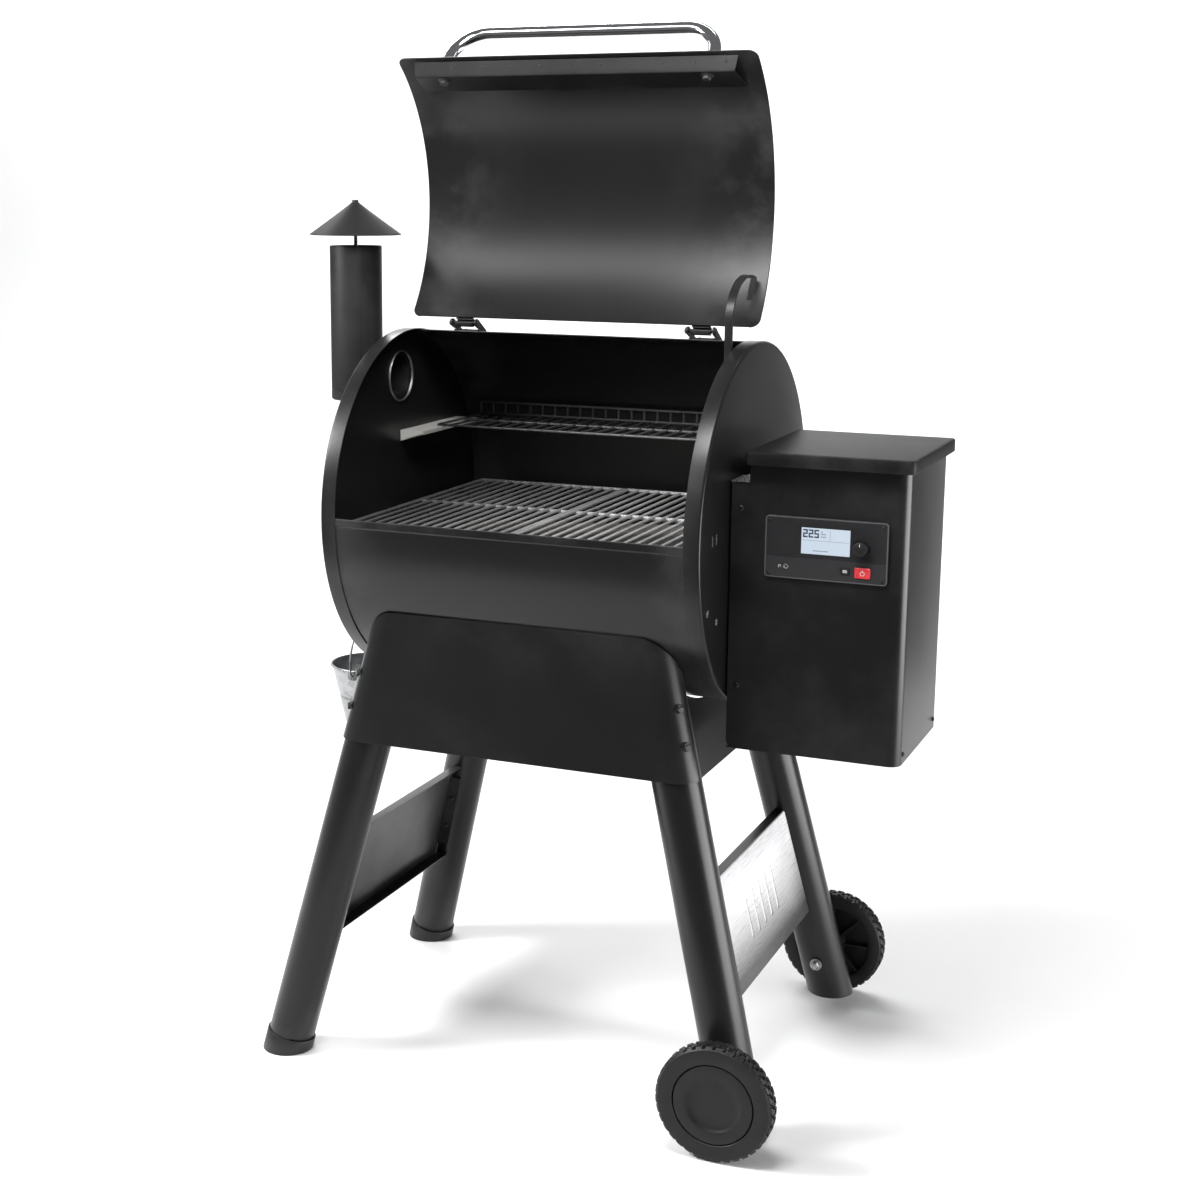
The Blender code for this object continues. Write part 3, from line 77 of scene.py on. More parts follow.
# ---- finishes
class Finish:
    """A Principled material whose colour, roughness and relief come from procedural textures."""

    def __init__(self, name, roughness=0.4, metallic=0.0, **extra):
        self.mat = bpy.data.materials.new(name)
        self.mat.use_nodes = True
        self.tree = self.mat.node_tree
        self.shader = self.tree.nodes["Principled BSDF"]
        self.shader.inputs["Roughness"].default_value = roughness
        self.shader.inputs["Metallic"].default_value = metallic
        for key, value in extra.items():
            self.shader.inputs[key.replace("_", " ")].default_value = value
        self.place = self.tree.nodes.new("ShaderNodeTexCoord").outputs["Object"]
        self.relief = None

    def feed(self, socket, value):
        """Link a socket, or set a value (a colour may come without its alpha)."""
        if isinstance(value, bpy.types.NodeSocket):
            self.tree.links.new(value, socket)
        elif socket.type == "RGBA":
            socket.default_value = (*value, 1.0)
        else:
            socket.default_value = value

    def node(self, kind, inputs=(), **settings):
        made = self.tree.nodes.new(kind)
        for key, value in settings.items():
            setattr(made, key, value)
        for key, value in dict(inputs).items():
            self.feed(made.inputs[key], value)
        return made

    def stretched(self, scale):
        """The place, scaled along each axis, for a pattern with a grain."""
        return self.node("ShaderNodeMapping", {"Vector": self.place, "Scale": scale}).outputs["Vector"]

    def noise(self, scale, detail=3.0, rough=0.55, where=None):
        return self.node("ShaderNodeTexNoise", {"Vector": where or self.place, "Scale": scale,
                                                "Detail": detail, "Roughness": rough}).outputs["Fac"]

    def cells(self, scale):
        return self.node("ShaderNodeTexVoronoi", {"Vector": self.place, "Scale": scale},
                         feature="SMOOTH_F1").outputs["Distance"]

    def height(self, axis):
        return self.node("ShaderNodeSeparateXYZ", {"Vector": self.place}).outputs[axis]

    def band(self, value, low, high, out_low, out_high):
        """Carry the range low to high over to another range, and stop at its ends."""
        return self.node("ShaderNodeMapRange", {"Value": value, "From Min": low, "From Max": high,
                                                "To Min": out_low, "To Max": out_high}).outputs["Result"]

    def mix(self, factor, one, two):
        return self.node("ShaderNodeMix", {0: factor, 6: one, 7: two}, data_type="RGBA").outputs[2]

    def over(self, color, pattern, low, high, share, other):
        """Lay a share of another colour over, where the pattern rises from low to high."""
        return self.mix(self.band(pattern, low, high, 0.0, share), color, other)

    def sums(self, operation, one, two):
        return self.node("ShaderNodeMath", {0: one, 1: two}, operation=operation).outputs[0]

    def edges(self):
        """1 on sharp outer edges, 0 elsewhere."""
        return self.band(self.node("ShaderNodeNewGeometry").outputs["Pointiness"], 0.515, 0.6, 0.0, 1.0)

    def bump(self, height, depth, strength=1.0):
        """Add relief of this depth in metres to what is there."""
        inputs = {"Height": height, "Distance": depth, "Strength": strength}
        if self.relief:
            inputs["Normal"] = self.relief
        self.relief = self.node("ShaderNodeBump", inputs).outputs["Normal"]

    def done(self, color, roughness=None):
        """Link what was made to the shader and give the material back."""
        self.tree.links.new(color, self.shader.inputs["Base Color"])
        if roughness is not None:
            self.tree.links.new(roughness, self.shader.inputs["Roughness"])
        if self.relief:
            self.tree.links.new(self.relief, self.shader.inputs["Normal"])
        return self.mat


def brighter(color, times, lift=0.0):
    return tuple(min(1.0, c * times + lift) for c in color)


def powder_coat(name, dark, light, rough, peel=0.000035, level=0.28):
    """Baked powder coat: orange peel, slow shade changes, faint rubbed patches and worn edges."""
    f = Finish(name, rough, Specular_IOR_Level=level)
    slow = f.noise(3.0)
    fine = f.noise(900.0, 2.0)
    peel_cells = f.cells(620.0)
    smudge = f.noise(9.0, 5.0, 0.6)
    color = f.over(dark, slow, 0.35, 0.65, 1.0, light)
    color = f.over(color, fine, 0.6, 0.78, 0.35, brighter(light, 2.2))
    worn = f.sums("MULTIPLY", f.edges(), f.band(smudge, 0.42, 0.62, 0.0, 0.75))
    color = f.mix(worn, color, brighter(light, 3.4, 0.01))
    shine = f.sums("ADD", f.band(smudge, 0.3, 0.75, rough - 0.012, rough + 0.018),
                   f.band(fine, 0.3, 0.7, -0.02, 0.02))
    f.bump(peel_cells, peel, 0.55)
    f.bump(fine, peel * 0.5, 0.5)
    return f.done(color, shine)


def satin_panel(name):
    """Brushed satin sheet with a painted reflection gradient that falls to painted shade toward its lower
    edge.
    """
    f = Finish(name, 0.3, 0.45)
    brushed = f.noise(1.0, 3.0, 0.6, f.stretched((40.0, 14.0, 1400.0)))
    # painted reflection and shade: bright near the top, darkening toward the bottom edge
    painted_shade_to_bottom = f.band(f.height("Z"), 0.2, 0.315, 1.0, 0.0)
    color = f.mix(brushed, (0.92, 0.92, 0.93), (0.99, 0.99, 1.0))
    color = f.mix(painted_shade_to_bottom, color, (0.07, 0.07, 0.072))
    f.bump(brushed, 0.00001, 0.3)
    return f.done(color, f.band(brushed, 0.3, 0.7, 0.25, 0.33))


def enamel(name, dark, light):
    """Porcelain on wire, glossy, with painted shadow that darkens it toward the chimney end."""
    f = Finish(name, 0.3, Coat_Weight=0.5, Coat_Roughness=0.16)
    patch = f.noise(11.0, 4.0)
    color = f.over(dark, patch, 0.4, 0.7, 1.0, light)
    # painted shadow: the wires darken toward the left end, as if shaded by the end cap
    color = f.mix(f.band(f.height("X"), -0.3, 0.02, 0.85, 0.0), color, brighter(dark, 0.12))
    f.bump(f.noise(260.0, 2.0), 0.00002, 0.4)
    return f.done(color, f.band(patch, 0.35, 0.7, 0.26, 0.36))


def polished(name):
    """Polished stainless tube with fine lengthwise lines and light finger marks."""
    f = Finish(name, 0.12, 1.0)
    lines = f.noise(1.0, 3.0, 0.6, f.stretched((6.0, 900.0, 900.0)))
    marks = f.noise(24.0, 5.0, 0.65)
    f.bump(lines, 0.000012, 0.4)
    return f.done(f.mix(lines, (0.7, 0.7, 0.71), (0.8, 0.8, 0.81)),
                  f.sums("ADD", f.band(marks, 0.4, 0.7, 0.06, 0.13), f.band(lines, 0.3, 0.7, -0.02, 0.03)))


def galvanized(name, scale=85.0):
    """Zinc spangle."""
    f = Finish(name, 0.32, 0.7)
    spangle = f.node("ShaderNodeTexVoronoi", {"Vector": f.place, "Scale": scale}).outputs["Color"]
    grey = f.node("ShaderNodeSeparateColor", {"Color": spangle}).outputs[0]
    fine = f.noise(420.0)
    color = f.mix(grey, (0.22, 0.225, 0.23), (0.36, 0.365, 0.37))
    color = f.over(color, f.noise(9.0, 5.0), 0.45, 0.75, 0.25, (0.19, 0.195, 0.2))
    f.bump(grey, 0.00003, 0.4)
    f.bump(fine, 0.00002, 0.5)
    return f.done(color, f.sums("ADD", f.band(grey, 0.0, 1.0, 0.24, 0.42),
                                f.band(fine, 0.3, 0.7, -0.03, 0.03)))


def bright_zinc(name):
    """Clean electroplated bracket."""
    f = Finish(name, 0.4, 0.35)
    fine = f.noise(500.0)
    f.bump(fine, 0.000015, 0.4)
    color = f.mix(f.noise(14.0), (0.62, 0.61, 0.58), (0.72, 0.71, 0.68))
    return f.done(color, f.band(fine, 0.3, 0.7, 0.34, 0.44))


def bare_steel(name):
    """Mill finish steel, browned and blued a little by heat."""
    f = Finish(name, 0.42, 1.0)
    rolled = f.noise(1.0, 3.0, 0.6, f.stretched((500.0, 30.0, 500.0)))
    heat = f.noise(7.0, 5.0, 0.62)
    soot = f.noise(18.0, 6.0, 0.7)
    color = f.mix(rolled, (0.3, 0.29, 0.28), (0.42, 0.41, 0.4))
    color = f.over(color, heat, 0.45, 0.72, 0.6, (0.24, 0.19, 0.15))
    color = f.over(color, soot, 0.5, 0.75, 0.8, (0.05, 0.045, 0.04))
    f.bump(rolled, 0.00003, 0.5)
    return f.done(color, f.band(soot, 0.3, 0.75, 0.34, 0.66))


def moulded(name, dark, light, rough, grain=520.0):
    """Moulded plastic with a fine spark-eroded grain."""
    f = Finish(name, rough, Specular_IOR_Level=0.3)
    color = f.over(dark, f.noise(9.0, 4.0), 0.35, 0.65, 1.0, light)
    color = f.mix(f.sums("MULTIPLY", f.edges(), 0.5), color, brighter(light, 1.9))
    f.bump(f.cells(grain), 0.00005, 0.5)
    return f.done(color, f.band(f.noise(60.0, 4.0), 0.3, 0.7, rough - 0.06, rough + 0.08))


def glossy_red(name):
    f = Finish(name, 0.3, Coat_Weight=0.4)
    slow = f.noise(220.0)
    f.bump(slow, 0.00002, 0.3)
    return f.done(f.mix(slow, (0.62, 0.03, 0.04), (0.72, 0.05, 0.058)), f.band(slow, 0.3, 0.7, 0.24, 0.36))


def lit_screen(name):
    """Backlit screen: cool white with a pixel grid and a slow unevenness in its glow."""
    f = Finish(name, 0.18)
    grid = f.node("ShaderNodeTexChecker", {"Vector": f.place, "Scale": 1600.0}).outputs["Fac"]
    color = f.over((0.5, 0.58, 0.68), f.noise(14.0, 2.0), 0.3, 0.7, 1.0, (0.58, 0.66, 0.76))
    color = f.mix(f.sums("MULTIPLY", grid, 0.1), color, (0.45, 0.52, 0.62))
    f.feed(f.shader.inputs["Emission Color"], color)
    f.feed(f.shader.inputs["Emission Strength"], 1.04)
    return f.done(f.mix(grid, (0.05, 0.055, 0.06), (0.06, 0.066, 0.075)))


def ink(name, shade, rough=0.5):
    """Printed or segment ink, slightly uneven."""
    f = Finish(name, rough)
    slow = f.noise(900.0, 2.0)
    return f.done(f.mix(slow, brighter(shade, 0.85), shade),
                  f.band(slow, 0.3, 0.7, rough - 0.05, rough + 0.05))


COAT = powder_coat("coat_satin_black", (0.0075, 0.0075, 0.0078), (0.0095, 0.0095, 0.0098), 0.3)
COAT_GRAINY = powder_coat("coat_grainy_black", (0.006, 0.006, 0.0062), (0.012, 0.012, 0.0122), 0.46,
                          0.00007, 0.12)
PANEL = satin_panel("panel_satin_metal")
ENAMEL = enamel("enamel_grate", (0.38, 0.38, 0.381), (0.52, 0.518, 0.513))
ENAMEL_DARK = enamel("enamel_rack", (0.085, 0.085, 0.086), (0.12, 0.12, 0.119))
ZINC_BRIGHT = bright_zinc("zinc_bright")
CHROME = polished("stainless_polished")
ZINC = galvanized("zinc_spangle")
ZINC_FINE = galvanized("zinc_fastener", 400.0)
STEEL = bare_steel("steel_heat_darkened")
PLASTIC = moulded("plastic_black", (0.01, 0.01, 0.011), (0.014, 0.014, 0.015), 0.42)
PLASTIC_GREY = moulded("plastic_dark_grey", (0.02, 0.02, 0.0215), (0.026, 0.026, 0.0275), 0.46)
PLASTIC_RIM = moulded("plastic_rim", (0.055, 0.055, 0.058), (0.07, 0.07, 0.073), 0.38)
WHEEL = moulded("plastic_wheel", (0.008, 0.008, 0.0085), (0.012, 0.012, 0.0126), 0.46, 380.0)
FASTENER = powder_coat("fastener_black", (0.006, 0.006, 0.0062), (0.01, 0.01, 0.0103), 0.3, 0.00001)
RED = glossy_red("plastic_red")
SCREEN = lit_screen("screen_backlit")
INK_DARK = ink("ink_dark_blue", (0.035, 0.045, 0.075))
INK_LIGHT = ink("ink_white", (0.72, 0.72, 0.72))
# the record's material slots, each with the finish that fits the slot first
SLOTS = {"black_powder_coat": (COAT, COAT_GRAINY, FASTENER), "black_enamel": (ENAMEL, ENAMEL_DARK),
         "polished_stainless": (CHROME,), "galvanized_steel": (ZINC, ZINC_BRIGHT, ZINC_FINE),
         "satin_black_panel": (PANEL,), "wheel_plastic": (WHEEL,), "red_plastic": (RED,),
         "black_plastic": (PLASTIC, PLASTIC_GREY, PLASTIC_RIM, INK_DARK, INK_LIGHT),
         "backlit_screen": (SCREEN,), "raw_steel": (STEEL,)}
SLOT_OF = {finish: slot for slot, finishes in SLOTS.items() for finish in finishes}


# ---- shape tools: a shape is a list of (points, faces) pairs in barrel coordinates
def show(name, data):
    """A new object in the scene."""
    obj = bpy.data.objects.new(name, data)
    bpy.context.scene.collection.objects.link(obj)
    return obj


def mesh_of(name, shape, place=SHIFT):
    """One mesh from a shape, with its faces turned outward."""
    points, faces = [], []
    for some, corners in shape:
        faces += [[k + len(points) for k in face] for face in corners]
        points += [place @ Vector(p) for p in some]
    mesh = bpy.data.meshes.new(name)
    mesh.from_pydata(points, [], faces)
    bm = bmesh.new()
    bm.from_mesh(mesh)
    bmesh.ops.recalc_face_normals(bm, faces=bm.faces[:])
    bm.to_mesh(mesh)
    bm.free()
    return mesh


def make(name, shape, mat=COAT, body="grill", node=None, angle=38.0, bevel=0.0, place=SHIFT):
    """A shown piece that rides on a body, in place of a CAD node if one is named."""
    mesh = mesh_of(name, shape, place)
    mesh.shade_smooth()
    mesh.set_sharp_from_angle(angle=radians(angle))
    mesh.materials.append(mat)
    obj = show(name, mesh)
    if bevel:
        edges = obj.modifiers.new("round_edges", "BEVEL")
        edges.width = bevel
        edges.segments = 2
        edges.limit_method = "ANGLE"
        edges.angle_limit = radians(40.0)
        edges.harden_normals = True
    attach(obj, body)
    if node:
        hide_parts(node)
    return obj


def on_lid(name, shape, mat=COAT, **how):
    """A piece drawn with the lid closed and turned open with it."""
    return make(name, shape, mat, "lid", place=OPENED, **how)


def carve(obj, *shapes):
    """Cut solid shapes out of a piece, before its edges are rounded."""
    tools = [show("tool", mesh_of("tool", shape)) for shape in shapes]
    for tool in tools:
        cut = obj.modifiers.new("carve", "BOOLEAN")
        cut.solver = "EXACT"
        cut.object = tool
    bevels = [m for m in obj.modifiers if m.type == "BEVEL"]
    for m in bevels:
        m.show_viewport = False
    bpy.context.view_layer.update()
    mesh = bpy.data.meshes.new_from_object(obj.evaluated_get(bpy.context.evaluated_depsgraph_get()))
    for m in [m for m in obj.modifiers if m.type == "BOOLEAN"]:
        obj.modifiers.remove(m)
    for m in bevels:
        m.show_viewport = True
    obj.data = mesh
    for tool in tools:
        bpy.data.objects.remove(tool, do_unlink=True)


def join(shapes):
    """One shape, or one outline, from several."""
    return [pair for shape in shapes for pair in shape]


def moved(shape, matrix):
    return [([matrix @ Vector(p) for p in points], faces) for points, faces in shape]


def scaled(unit, *points):
    return [tuple(unit * c for c in p) for p in points]


def mm(*points):
    """Points given in millimetres."""
    return [tuple(c / 1000 for c in p) for p in points]


def steps(start, end, count):
    """The values from start to end in equal steps, both ends included."""
    return [start + (end - start) * i / count for i in range(count + 1)]


def polar(radius, angle):
    """(y, z) round the barrel's axis; 180 degrees is the front, 90 the top."""
    a = radians(angle)
    return radius * cos(a), AXIS_Z + radius * sin(a)


def arc(cx, cy, radius, start, end, count):
    """Points along part of a circle, in degrees."""
    return [(cx + radius * cos(radians(a)), cy + radius * sin(radians(a)))
            for a in steps(start, end, count)]


def at(x, y, z, axis="z"):
    """A placing whose Z axis lies along a world axis."""
    return Matrix.Translation((x, y, z)) @ AXES[axis]


def aim(point, direction):
    """A placing whose Z axis is the direction."""
    turn = Vector(direction).normalized().to_track_quat("Z", "Y").to_matrix().to_4x4()
    return Matrix.Translation(point) @ turn


def net(rings, closed=False, ends=True):
    """Faces from each ring of points to the next; a ring of one point is a tip."""
    rows, count = [], 0
    for ring in rings:
        rows.append(range(count, count + len(ring)))
        count += len(ring)
    faces = []
    for one, two in list(zip(rows, rows[1:])) + ([(rows[-1], rows[0])] if closed else []):
        around = max(len(one), len(two))
        for k in range(around):
            j = (k + 1) % around
            corners = (one[k % len(one)], one[j % len(one)], two[j % len(two)], two[k % len(two)])
            corners = list(dict.fromkeys(corners))
            if len(corners) > 2:
                faces.append(corners)
    if ends and not closed:
        faces += [list(row) for row in (rows[0], rows[-1]) if len(row) > 2]
    return [([p for ring in rings for p in ring], faces)]


def turned(profile, place, sides=64, closed=False, radius_at=None):
    """Turn (radius, along) points about the Z axis of a placing; radius_at(i, k, radius) may vary it."""
    rings = []
    for i, (radius, along) in enumerate(profile):
        ring = []
        for k in range(sides if radius > 1e-9 else 1):
            r = radius_at(i, k, radius) if radius_at else radius
            t = 2 * pi * k / sides
            ring.append(place @ Vector((r * cos(t), r * sin(t), along)))
        rings.append(ring)
    return net(rings, closed)


def rod(radius, low, high, place, sides):
    """A solid cylinder from low to high along the Z axis of a placing."""
    return turned([(0, low), (radius, low), (radius, high), (0, high)], place, sides)


def collar(inner, outer, low, high, place, sides):
    """The same with a bore."""
    return turned([(inner, low), (outer, low), (outer, high), (inner, high)], place, sides, closed=True)


def swept(points, radius, sides=12, around=False):
    """A round bar along a list of points; around takes the last point as a neighbour of the first."""
    points = [Vector(p) for p in points]
    last = len(points) - 1
    across = None
    rings = []
    for i, here in enumerate(points):
        if around:
            ahead = points[(i + 1) % len(points)] - points[i - 1]
        else:
            ahead = points[min(i + 1, last)] - points[max(i - 1, 0)]
        ahead.normalize()
        across = ahead.orthogonal() if across is None else across - ahead * across.dot(ahead)
        across.normalize()
        other = ahead.cross(across)
        rings.append([here + radius * (cos(t) * across + sin(t) * other)
                      for t in (2 * pi * k / sides for k in range(sides))])
    return net(rings)


def block(low, high):
    """A box between two corners."""
    (x0, y0, z0), (x1, y1, z1) = low, high
    return prism([(x0, y0), (x1, y0), (x1, y1), (x0, y1)], z0, z1, "z")


def prism(outline, low, high, axis):
    """An outline in the other two axes, pushed along one axis from low to high."""
    order = {"x": (2, 0, 1), "y": (0, 2, 1), "z": (0, 1, 2)}[axis]
    return net([[[(u, v, w)[k] for k in order] for u, v in outline] for w in (low, high)])


def rounded(x0, y0, x1, y1, r, count=6):
    """Outline of a rectangle with round corners."""
    corners = ((x1 - r, y0 + r, -90), (x1 - r, y1 - r, 0), (x0 + r, y1 - r, 90), (x0 + r, y0 + r, 180))
    return join(arc(cx, cy, r, a, a + 90, count) for cx, cy, a in corners)


def skin(rows):
    """A sheet given as rows of (side A corners, side B corners)."""
    rings = [[*a, *reversed(b)] for a, b in rows]
    points, faces = net(rings, ends=False)[0]
    n = len(rings[0])
    for start in (0, len(points) - n):
        faces += [[start + k, start + k + 1, start + n - 2 - k, start + n - 1 - k] for k in range(n // 2 - 1)]
    return [(points, faces)]


def offset_line(points, distance):
    """The same line moved to its left by a distance, with its corners kept."""
    moved_line = []
    for i, here in enumerate(points):
        normals = []
        for a, b in ((i - 1, i), (i, i + 1)):
            if a >= 0 and b < len(points):
                run = Vector((points[b][0] - points[a][0], points[b][1] - points[a][1])).normalized()
                normals.append(Vector((-run.y, run.x)))
        middle = sum(normals, Vector((0, 0))).normalized()
        reach = distance / middle.dot(normals[0])
        moved_line.append((here[0] + middle.x * reach, here[1] + middle.y * reach))
    return moved_line


def bent_sheet(line, thickness, half_widths, columns=1, middle=0.0):
    """A sheet bent along a (y, z) line and spread along X on both sides of the middle."""
    if not isinstance(half_widths, list):
        half_widths = [half_widths] * len(line)
    rows = []
    for (y, z), (by, bz), w in zip(line, offset_line(line, thickness), half_widths):
        xs = [middle + 2 * w * c / columns - w for c in range(columns + 1)]
        rows.append(([(x, y, z) for x in xs], [(x, by, bz) for x in xs]))
    return skin(rows)


# ---- fasteners: profiles in shares of the head's radius
def hex_bolt(point, direction, size):
    """Flanged hex head standing on a surface."""
    place = aim(point, direction)
    flange = scaled(size, (0, 0), (1.45, 0), (1.45, 0.1), (1.3, 0.26), (1, 0.32), (0, 0.32))
    head = scaled(size, (0, 0.3), (1.02, 0.3), (1.02, 0.92), (0.86, 1.08), (0, 1.1))
    return turned(flange, place, 28) + turned(head, place, 6)


def pan_screw(point, direction, size):
    """Domed screw head whose recess holds the four ribs of a cross drive."""
    place = aim(point, direction)
    dome = scaled(size, (0, 0), (1, 0), (1, 0.18), (0.93, 0.38), (0.74, 0.56), (0.46, 0.66), (0.4, 0.3),
                  (0, 0.26))
    shape = turned(dome, place, 24)
    for turn in (0.0, pi / 2):
        for side in (-1, 1):
            rib = block(*scaled(size, (-0.09, side * 0.3 - 0.08, 0.27), (0.09, side * 0.3 + 0.08, 0.5)))
            shape += moved(rib, place @ Matrix.Rotation(turn, 4, "Z"))
    return shape


def rivet(point, direction, size=0.003):
    """Domed blind rivet with its dimple."""
    dome = scaled(size, (0, 0), (1, 0), (0.92, 0.3), (0.62, 0.56), (0.3, 0.62), (0.26, 0.4), (0, 0.36))
    return turned(dome, aim(point, direction), 16)


def off_axis(x, y, z):
    """(point, direction away from the barrel's axis), for a fastener on the barrel or the lid."""
    return (x, y, z), (0, y, z - AXIS_Z)


# ---- barrel
def barrel():
    """Rolled skin with hemmed lips, and two pressed end caps with their holes and tabs."""
    hem = [(178.9, 0.0), (179.1, 0.001), (181.05, 0.001), (181.25, 0.0), (181.45, -0.0004), (181.6, 0.0)]
    line = [polar(SHELL_R + rise, a) for a, rise in hem]
    line += [polar(SHELL_R, a) for a in steps(181.9, 444.8, 236)]
    make("barrel_skin", bent_sheet(line, SHEET, CAP_HALF - 0.0019, 6), node="barrel_shell")
    edge_r, rim, inner = 0.0042, CAP_HALF - 0.025, CAP_HALF - SHEET
    edge = [(CAP_R - edge_r + edge_r * sin(t), CAP_HALF - edge_r + edge_r * cos(t))
            for t in steps(0.0, pi / 2, 6)]
    profile = [(0, CAP_HALF), (0.2, CAP_HALF), *edge, (CAP_R, rim + 0.0006), (CAP_R - 0.0005, rim),
               (CAP_R - SHEET, rim), (CAP_R - SHEET, inner - 0.0026), (CAP_R - edge_r, inner), (0.2, inner),
               (0, inner)]
    # each hole's radius, y, z and number of sides
    holes = {"left": [(0.0404, CHIMNEY.y, FLUE_Z, 64), (0.0144, 0.0, DRAIN_Z, 40)],
             "right": [(0.0285, 0.0, FEED_Z, 48)]}
    for word, side in SIDES:
        cap = turned([(r, side * x) for r, x in profile], at(0, 0, AXIS_Z, "x"), 180)
        cap = make(f"end_cap_{word}_skin", cap, node=f"end_cap_{word}", angle=30)
        carve(cap, *[rod(r, side * 0.28, side * 0.32, at(0, y, z, "x"), count)
                     for r, y, z, count in holes[word]])
    ring = mm((38.8, -300.2), (39.6, -297.2), (40.2, -296.8), (41.0, -297.8), (41.4, -299.8), (40.0, -300.4))
    make("flue_ring", turned(ring, at(0, CHIMNEY.y, FLUE_Z, "x"), 72, closed=True), STEEL)
    outside = CAP_HALF + 0.0001
    tabs = join(prism(rounded(y - 0.0014, 0.872, y + 0.0014, 0.888, 0.0013, 4), outside, 0.3032, "x")
                for y in (-0.219, -0.201))
    make("end_cap_hanger_tabs", tabs, PLASTIC_RIM, bevel=0.0003)
    tabs = join(prism(rounded(y - 0.0032, z - 0.0052, y + 0.0032, z + 0.0052, 0.0031), outside, 0.3034, "x")
                for y, z in ((-0.2345, 0.7785), (-0.192, 0.758)))
    make("end_cap_tray_tabs", tabs, ZINC_FINE, bevel=0.0004)


def opening_hems():
    """Rolled hem along the front lip and the rear edge of the opening."""
    hem_half, hem_r = 0.2998, 0.00115
    ends = [polar(SHELL_R - 0.0007, a) for a in (179.05, 84.9)]
    make("opening_hems", join(swept([(-hem_half, *end), (hem_half, *end)], hem_r) for end in ends))


# ---- lid
def lid():
    """Rolled sheet with round corners and a rounded rim."""
    corner, first, last = 0.014, 86.4, 180.0
    turn = degrees(corner / LID_R)
    ease = [(turn * (1 - cos(t)), LID_HALF - corner * (1 - sin(t))) for t in steps(0.0, pi / 2, 10)]
    line = [(first + a, half) for a, half in ease]
    line += [(a, LID_HALF) for a in steps(first + turn, last - turn, 100)[1:-1]]
    line += [(last - a, half) for a, half in reversed(ease)]
    sheet = bent_sheet([polar(LID_R, a) for a, half in line], -LID_SHEET, [half for a, half in line], 4)
    on_lid("lid_skin", sheet, node="lid_shell", angle=50)
    rim = [(half, *polar(LID_R + LID_SHEET / 2, a)) for a, half in line]
    rim += [(-x, y, z) for x, y, z in reversed(rim)]
    on_lid("lid_edge", swept(rim, 0.00108, 8, around=True))


def square_to(a, b, side):
    """The direction square to the line from a to b, on the side that a vector points to."""
    run = (b - a).normalized()
    square = Vector((0, -run.z, run.y))
    return square if square.dot(side) > 0 else -square


def lid_front():
    """Folded strip with its rivets, and the bent tube handle with its bolts and ferrules."""
    inside = LID_R - 0.0009
    fold = [(inside, 178.5), (LID_R - 0.012, 177.15), (LID_R - 0.0202, 176.5), (LID_R - 0.0212, 176.25),
            (LID_R - 0.0208, 175.85), (LID_R - 0.019, 174.9), (inside, 166.1)]
    fold = [polar(r, a) for r, a in fold]
    halves = [0.262, 0.26, 0.259, 0.2588, 0.259, 0.2592, 0.264]
    strip = bent_sheet(fold, -0.0012, halves, 2)
    on_lid("lid_stiffener_strip", strip, COAT_GRAINY, node="lid_stiffener", bevel=0.0003)
    edge_a, edge_b, face_a, face_b = (Vector((0, *fold[k])) for k in (0, 2, 5, 6))
    down = square_to(edge_a, edge_b, Vector((0, 0, -1)))
    spot = edge_a.lerp(edge_b, 0.42) - down * 0.0002
    rivets = join(rivet((-0.245 + 0.049 * k, spot.y, spot.z), down, 0.0023) for k in range(11))
    on_lid("lid_rivets", rivets, PLASTIC)
    inward = square_to(face_a, face_b, Vector((0, 0, AXIS_Z)) - face_a)
    spot = face_a.lerp(face_b, 0.13) + inward * 0.0012
    bolts = join(hex_bolt((x, spot.y, spot.z), inward, 0.0068) for x in (-0.213, 0.213))
    on_lid("handle_bolts", bolts, PLASTIC)
    skin_r, half, bend = LID_R + LID_SHEET, 0.216, 0.055
    foot, top = skin_r + 0.0004, skin_r + 0.0715
    flat = [(-half, foot), (-half, top - bend - 0.002), *arc(-half + bend, top - bend, bend, 180, 90, 24),
            *arc(half - bend, top - bend, bend, 90, 0, 24), (half, top - bend - 0.002), (half, foot)]
    tube = swept([(x, *polar(r, HANDLE_DEGREES)) for x, r in flat], 0.0099, 40)
    on_lid("handle_tube", tube, CHROME, node="lid_handle")
    ferrule = mm((0, 0), (14.2, 0), (14.2, 1.2), (12.8, 2.8), (10.6, 3.4), (10.1, 6.2), (0, 6.2))
    ends = [aim(*off_axis(x, *polar(skin_r, HANDLE_DEGREES))) for x in (-half, half)]
    on_lid("handle_ferrules", join(turned(ferrule, end, 40) for end in ends), CHROME)


def stop_arm():
    """Flat bar with rounded edges and the small bracket that screws it to the lid."""
    wall, thickness, half_width = 0.2744, 0.0032, 0.0062
    bend_y, bend_z, wide, tall = 0.024, 1.178, 0.084, 0.066
    line = [(bend_y - wide, 1.1215), (bend_y - wide, 1.15)]
    line += [(bend_y + wide * cos(t), bend_z + tall * sin(t)) for t in steps(pi, radians(72), 24)]
    bar = bent_sheet(line, -thickness, half_width, middle=wall - half_width - 0.0002)
    make("stop_arm_bar", bar, body="lid", node="lid_stop_arm", bevel=0.0007)
    outline = mm((3, 1207), (30, 1207), (49, 1236.5), (47, 1240.5), (24, 1240))
    make("stop_arm_bracket", prism(outline, wall, wall + 0.002, "x"), body="lid", bevel=0.0004)
    rivets = join(rivet((wall, y, z), (-1, 0, 0)) for y, z in ((0.0235, 1.215), (0.0355, 1.231)))
    make("stop_arm_screws", rivets, FASTENER, "lid")


